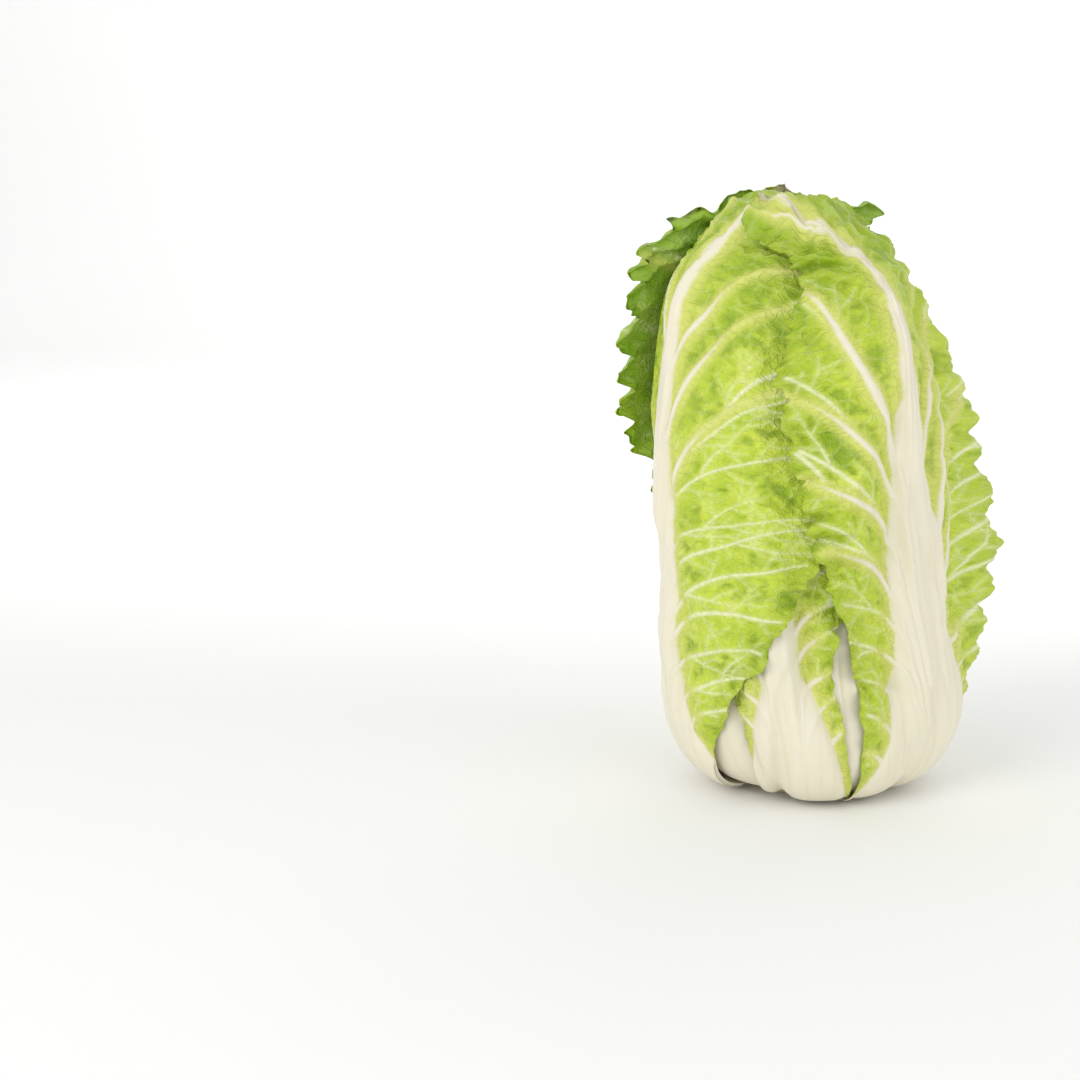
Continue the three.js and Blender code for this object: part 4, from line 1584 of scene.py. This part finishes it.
@dataclass
class Heart:
    """The heart: a closed body with its own leaves raised on its crown."""

    finish: bpy.types.Material
    rows: int = 150
    sides: int = 150
    pole: float = 0.15  # how far the first and the last ring are from the poles, in rows
    from_climb: tuple[float, float] = (24.0, 60.0)  # degrees up the head over which leaves rise
    flat_size: tuple[float, float] = (40.0, 90.0)  # millimetres to a radian round and up
    crinkle_size: float = 6.0
    net_size: float = 6.0
    sunk: float = 0.3  # millimetres under the smooth surface

    def __post_init__(self) -> None:
        """Reads the maps of the heart's leaves."""
        self.charts = [LeafMap(spec) for spec in HEART_LEAVES]
        self.noise = Noise(SEED + 50)

    def relief(self, x: Array, y: Array) -> tuple[Array, Array]:
        """Raises the heart's leaves, one over the other.

        Args:
            x: First coordinates of places.
            y: Second coordinates.

        Returns:
            Millimetres over the smooth surface, and millimetres off the stalk of the leaf on top.
        """
        layer, stalk = np.zeros(x.shape), np.full(x.shape, 9.0)
        for chart in self.charts:
            across, along = chart.from_place(x, y)
            ragged = 1.5 * self.noise.at(along * 50, across)
            inside = 1 - smooth(-3, 3, chart.outside(across, along) + ragged)
            layer = layer + inside * (SIZES.gap_side + chart.thickness(across, along))
            stalk = np.where(inside > 0.5, chart.off_stalk(across, along), stalk)
        climb = 2 * np.arctan2(1, np.hypot(x, y))
        return layer * smooth(self.from_climb[0] * RAD, self.from_climb[1] * RAD, climb), stalk

    def build(self, heights: Heights) -> bpy.types.Object:
        """Makes the heart, adds it to the heights, and dresses it.

        Args:
            heights: The head so far.

        Returns:
            The heart.
        """
        climb = math.pi * (np.arange(self.rows + 1) + self.pole) / (self.rows + 2 * self.pole)
        bearing = 2 * math.pi * np.arange(self.sides) / self.sides
        far = (1 / np.tan(climb / 2))[:, None]
        x, y = far * np.cos(bearing)[None, :], far * np.sin(bearing)[None, :]
        layer, stalk = self.relief(x, y)
        heights.layer = np.maximum(heights.layer, self.relief(heights.x, heights.y)[0])
        flat = np.stack([np.tile(bearing * self.flat_size[0], (self.rows + 1, 1)),
                         np.tile(climb[:, None] * self.flat_size[1], (1, self.sides))], -1)
        rough = self.noise.layered(flat[..., 0] / self.crinkle_size, flat[..., 1] / self.crinkle_size)
        points = HEAD.at(x, y, layer + rough * smooth(1.5, 2.2, climb[:, None]) - self.sunk)
        poles = HEAD.at(np.array([1e4, 1e-4]), np.zeros(2), np.array([0.0, float(layer[-1].mean())]))
        everything = np.concatenate([points.reshape(-1, 3), poles])
        net = Cells(SEED, self.net_size).border(flat[..., 0], flat[..., 1])
        even = np.ones(stalk.shape)
        grids = {"stalk": stalk, "vein": 6 * even, "rim": 20 * even, "sunk": 0 * even, "net": net}
        values = {key: np.append(grid.ravel(), grid.ravel()[[0, -1]]) for key, grid in grids.items()}
        flats = np.concatenate([flat.reshape(-1, 2), flat.reshape(-1, 2)[[0, -1]]])
        quads, tris = ring_faces(self.rows + 1, self.sides)
        piece = make_solid("heart_fine", everything, quads, tris, values, flats)
        return dress(piece, "heart", self.finish)


@dataclass(frozen=True)
class Lamp:
    """One soft square light, in metres and watts."""

    name: str
    place: Point
    aim: Point
    size: float
    power: float

    def hang(self) -> None:
        """Hangs the light at its place and turns it to the point that it faces."""
        data = bpy.data.lights.new(self.name, "AREA")
        data.size, data.energy = self.size, self.power
        lamp = bpy.data.objects.new(self.name, data)
        lamp.location = self.place
        lamp.rotation_euler = (Vector(self.aim) - Vector(self.place)).to_track_quat("-Z", "Y").to_euler()
        bpy.context.scene.collection.objects.link(lamp)


@dataclass(frozen=True)
class Studio:
    """A pale floor that rises into a backdrop, soft light and the camera, in metres."""

    lamps: tuple[Lamp, ...] = (
        Lamp("key", (-0.8, -1.15, 0.8), (0, 0, 0.13), 0.8, 6.5),
        Lamp("fill", (1.0, -0.8, 0.4), (0, 0, 0.12), 1.0, 2.4),
        Lamp("back", (0.3, 1.2, 0.9), (0, 0, 0.2), 1.0, 2),
        Lamp("backdrop", (0.0, 0.9, 1.5), (0, 2.6, 0.6), 1.6, 18),
    )
    daylight: float = 0.74
    tones: tuple[Colour, Colour] = ((0.965, 0.965, 0.96, 1), (0.985, 0.985, 0.98, 1))
    front: float = -3.0
    back: float = 2.4  # where the floor starts to rise
    side: float = 4.0
    bend: float = 0.6
    bend_steps: int = 12
    top: float = 3.0
    frame_pixels: int = 1080
    sensor: float = 36.0  # millimetres
    lens: float = 70.0
    elevation: float = 8.0
    frame_side: float = 0.502  # metres across the frame at the head's distance
    middle: Point = (0.0068, 0.0, 0.140)  # the point of the head at its box's middle
    at: tuple[float, float] = (289, 59)  # that point's pixels from the frame's middle, right and up

    def camera(self) -> None:
        """Places the camera so that the head stands right of the frame's middle."""
        data = bpy.data.cameras.new("camera")
        data.lens, data.sensor_width = self.lens, self.sensor
        data.clip_start, data.clip_end = 0.01, 50.0
        camera = bpy.data.objects.new("camera", data)
        bpy.context.scene.collection.objects.link(camera)
        bpy.context.scene.camera = camera
        tilt = self.elevation * RAD
        back = Vector((0, -math.cos(tilt), math.sin(tilt)))
        up = Vector((0, math.sin(tilt), math.cos(tilt)))
        distance = self.frame_side * self.lens / self.sensor
        scale = self.frame_side / self.frame_pixels
        middle = Vector(self.middle)
        camera.location = middle + back * distance
        aim = middle - Vector((1, 0, 0)) * self.at[0] * scale - up * self.at[1] * scale
        camera.rotation_euler = (aim - camera.location).to_track_quat("-Z", "Y").to_euler()

    def floor(self) -> bpy.types.Object:
        """Makes the floor: a line that runs back, bends up in a quarter circle and rises.

        Returns:
            The floor.
        """
        mesh = bpy.data.meshes.new("floor")
        turn = np.arange(self.bend_steps + 1) / self.bend_steps * math.pi / 2
        bend = np.stack([self.back + np.sin(turn) * self.bend, self.bend * (1 - np.cos(turn))], -1)
        line = np.concatenate([[(self.front, 0.0)], bend, [(self.back + self.bend, self.top)]])
        points = [(x, y, z) for y, z in line.tolist() for x in (-self.side, self.side)]
        mesh.from_pydata(points, [], grid_faces(len(line), 2).tolist())
        mesh.shade_smooth()
        floor = bpy.data.objects.new("floor", mesh)
        bpy.context.scene.collection.objects.link(floor)
        g = Graph("floor_finish")
        where = g.add("ShaderNodeTexCoord").outputs["Object"]
        tone = g.mix(g.noise(where, 3.0), *self.tones)
        g.finish({"Base Color": tone, "Roughness": 0.9})
        mesh.materials.append(g.material)
        return floor

    def build(self) -> None:
        """Sets up light, floor and camera."""
        world = bpy.data.worlds.new("studio")
        bpy.context.scene.world = world
        world.use_nodes = True
        background = world.node_tree.nodes["Background"]
        background.inputs["Color"].default_value = (1, 1, 1, 1)
        background.inputs["Strength"].default_value = self.daylight
        for lamp in self.lamps:
            lamp.hang()
        self.floor()
        self.camera()
        bpy.context.scene.view_settings.view_transform = "Standard"


def main() -> None:
    """Builds the whole scene."""
    logging.basicConfig(level=logging.INFO, format="%(message)s")
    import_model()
    finishes = {role: finish.build() for role, finish in FINISHES.items()}
    heights = Heights()
    CutStem(CutFinish().build()).build()
    Heart(finishes[Role.HEART]).build(heights)
    charts = [LeafMap(spec) for spec in LEAVES]
    for index in reversed(range(len(LEAVES))):
        Leaf(index, charts, heights, finishes[LEAVES[index].role]).build()
    Studio().build()


if __name__ == "__main__":
    main()
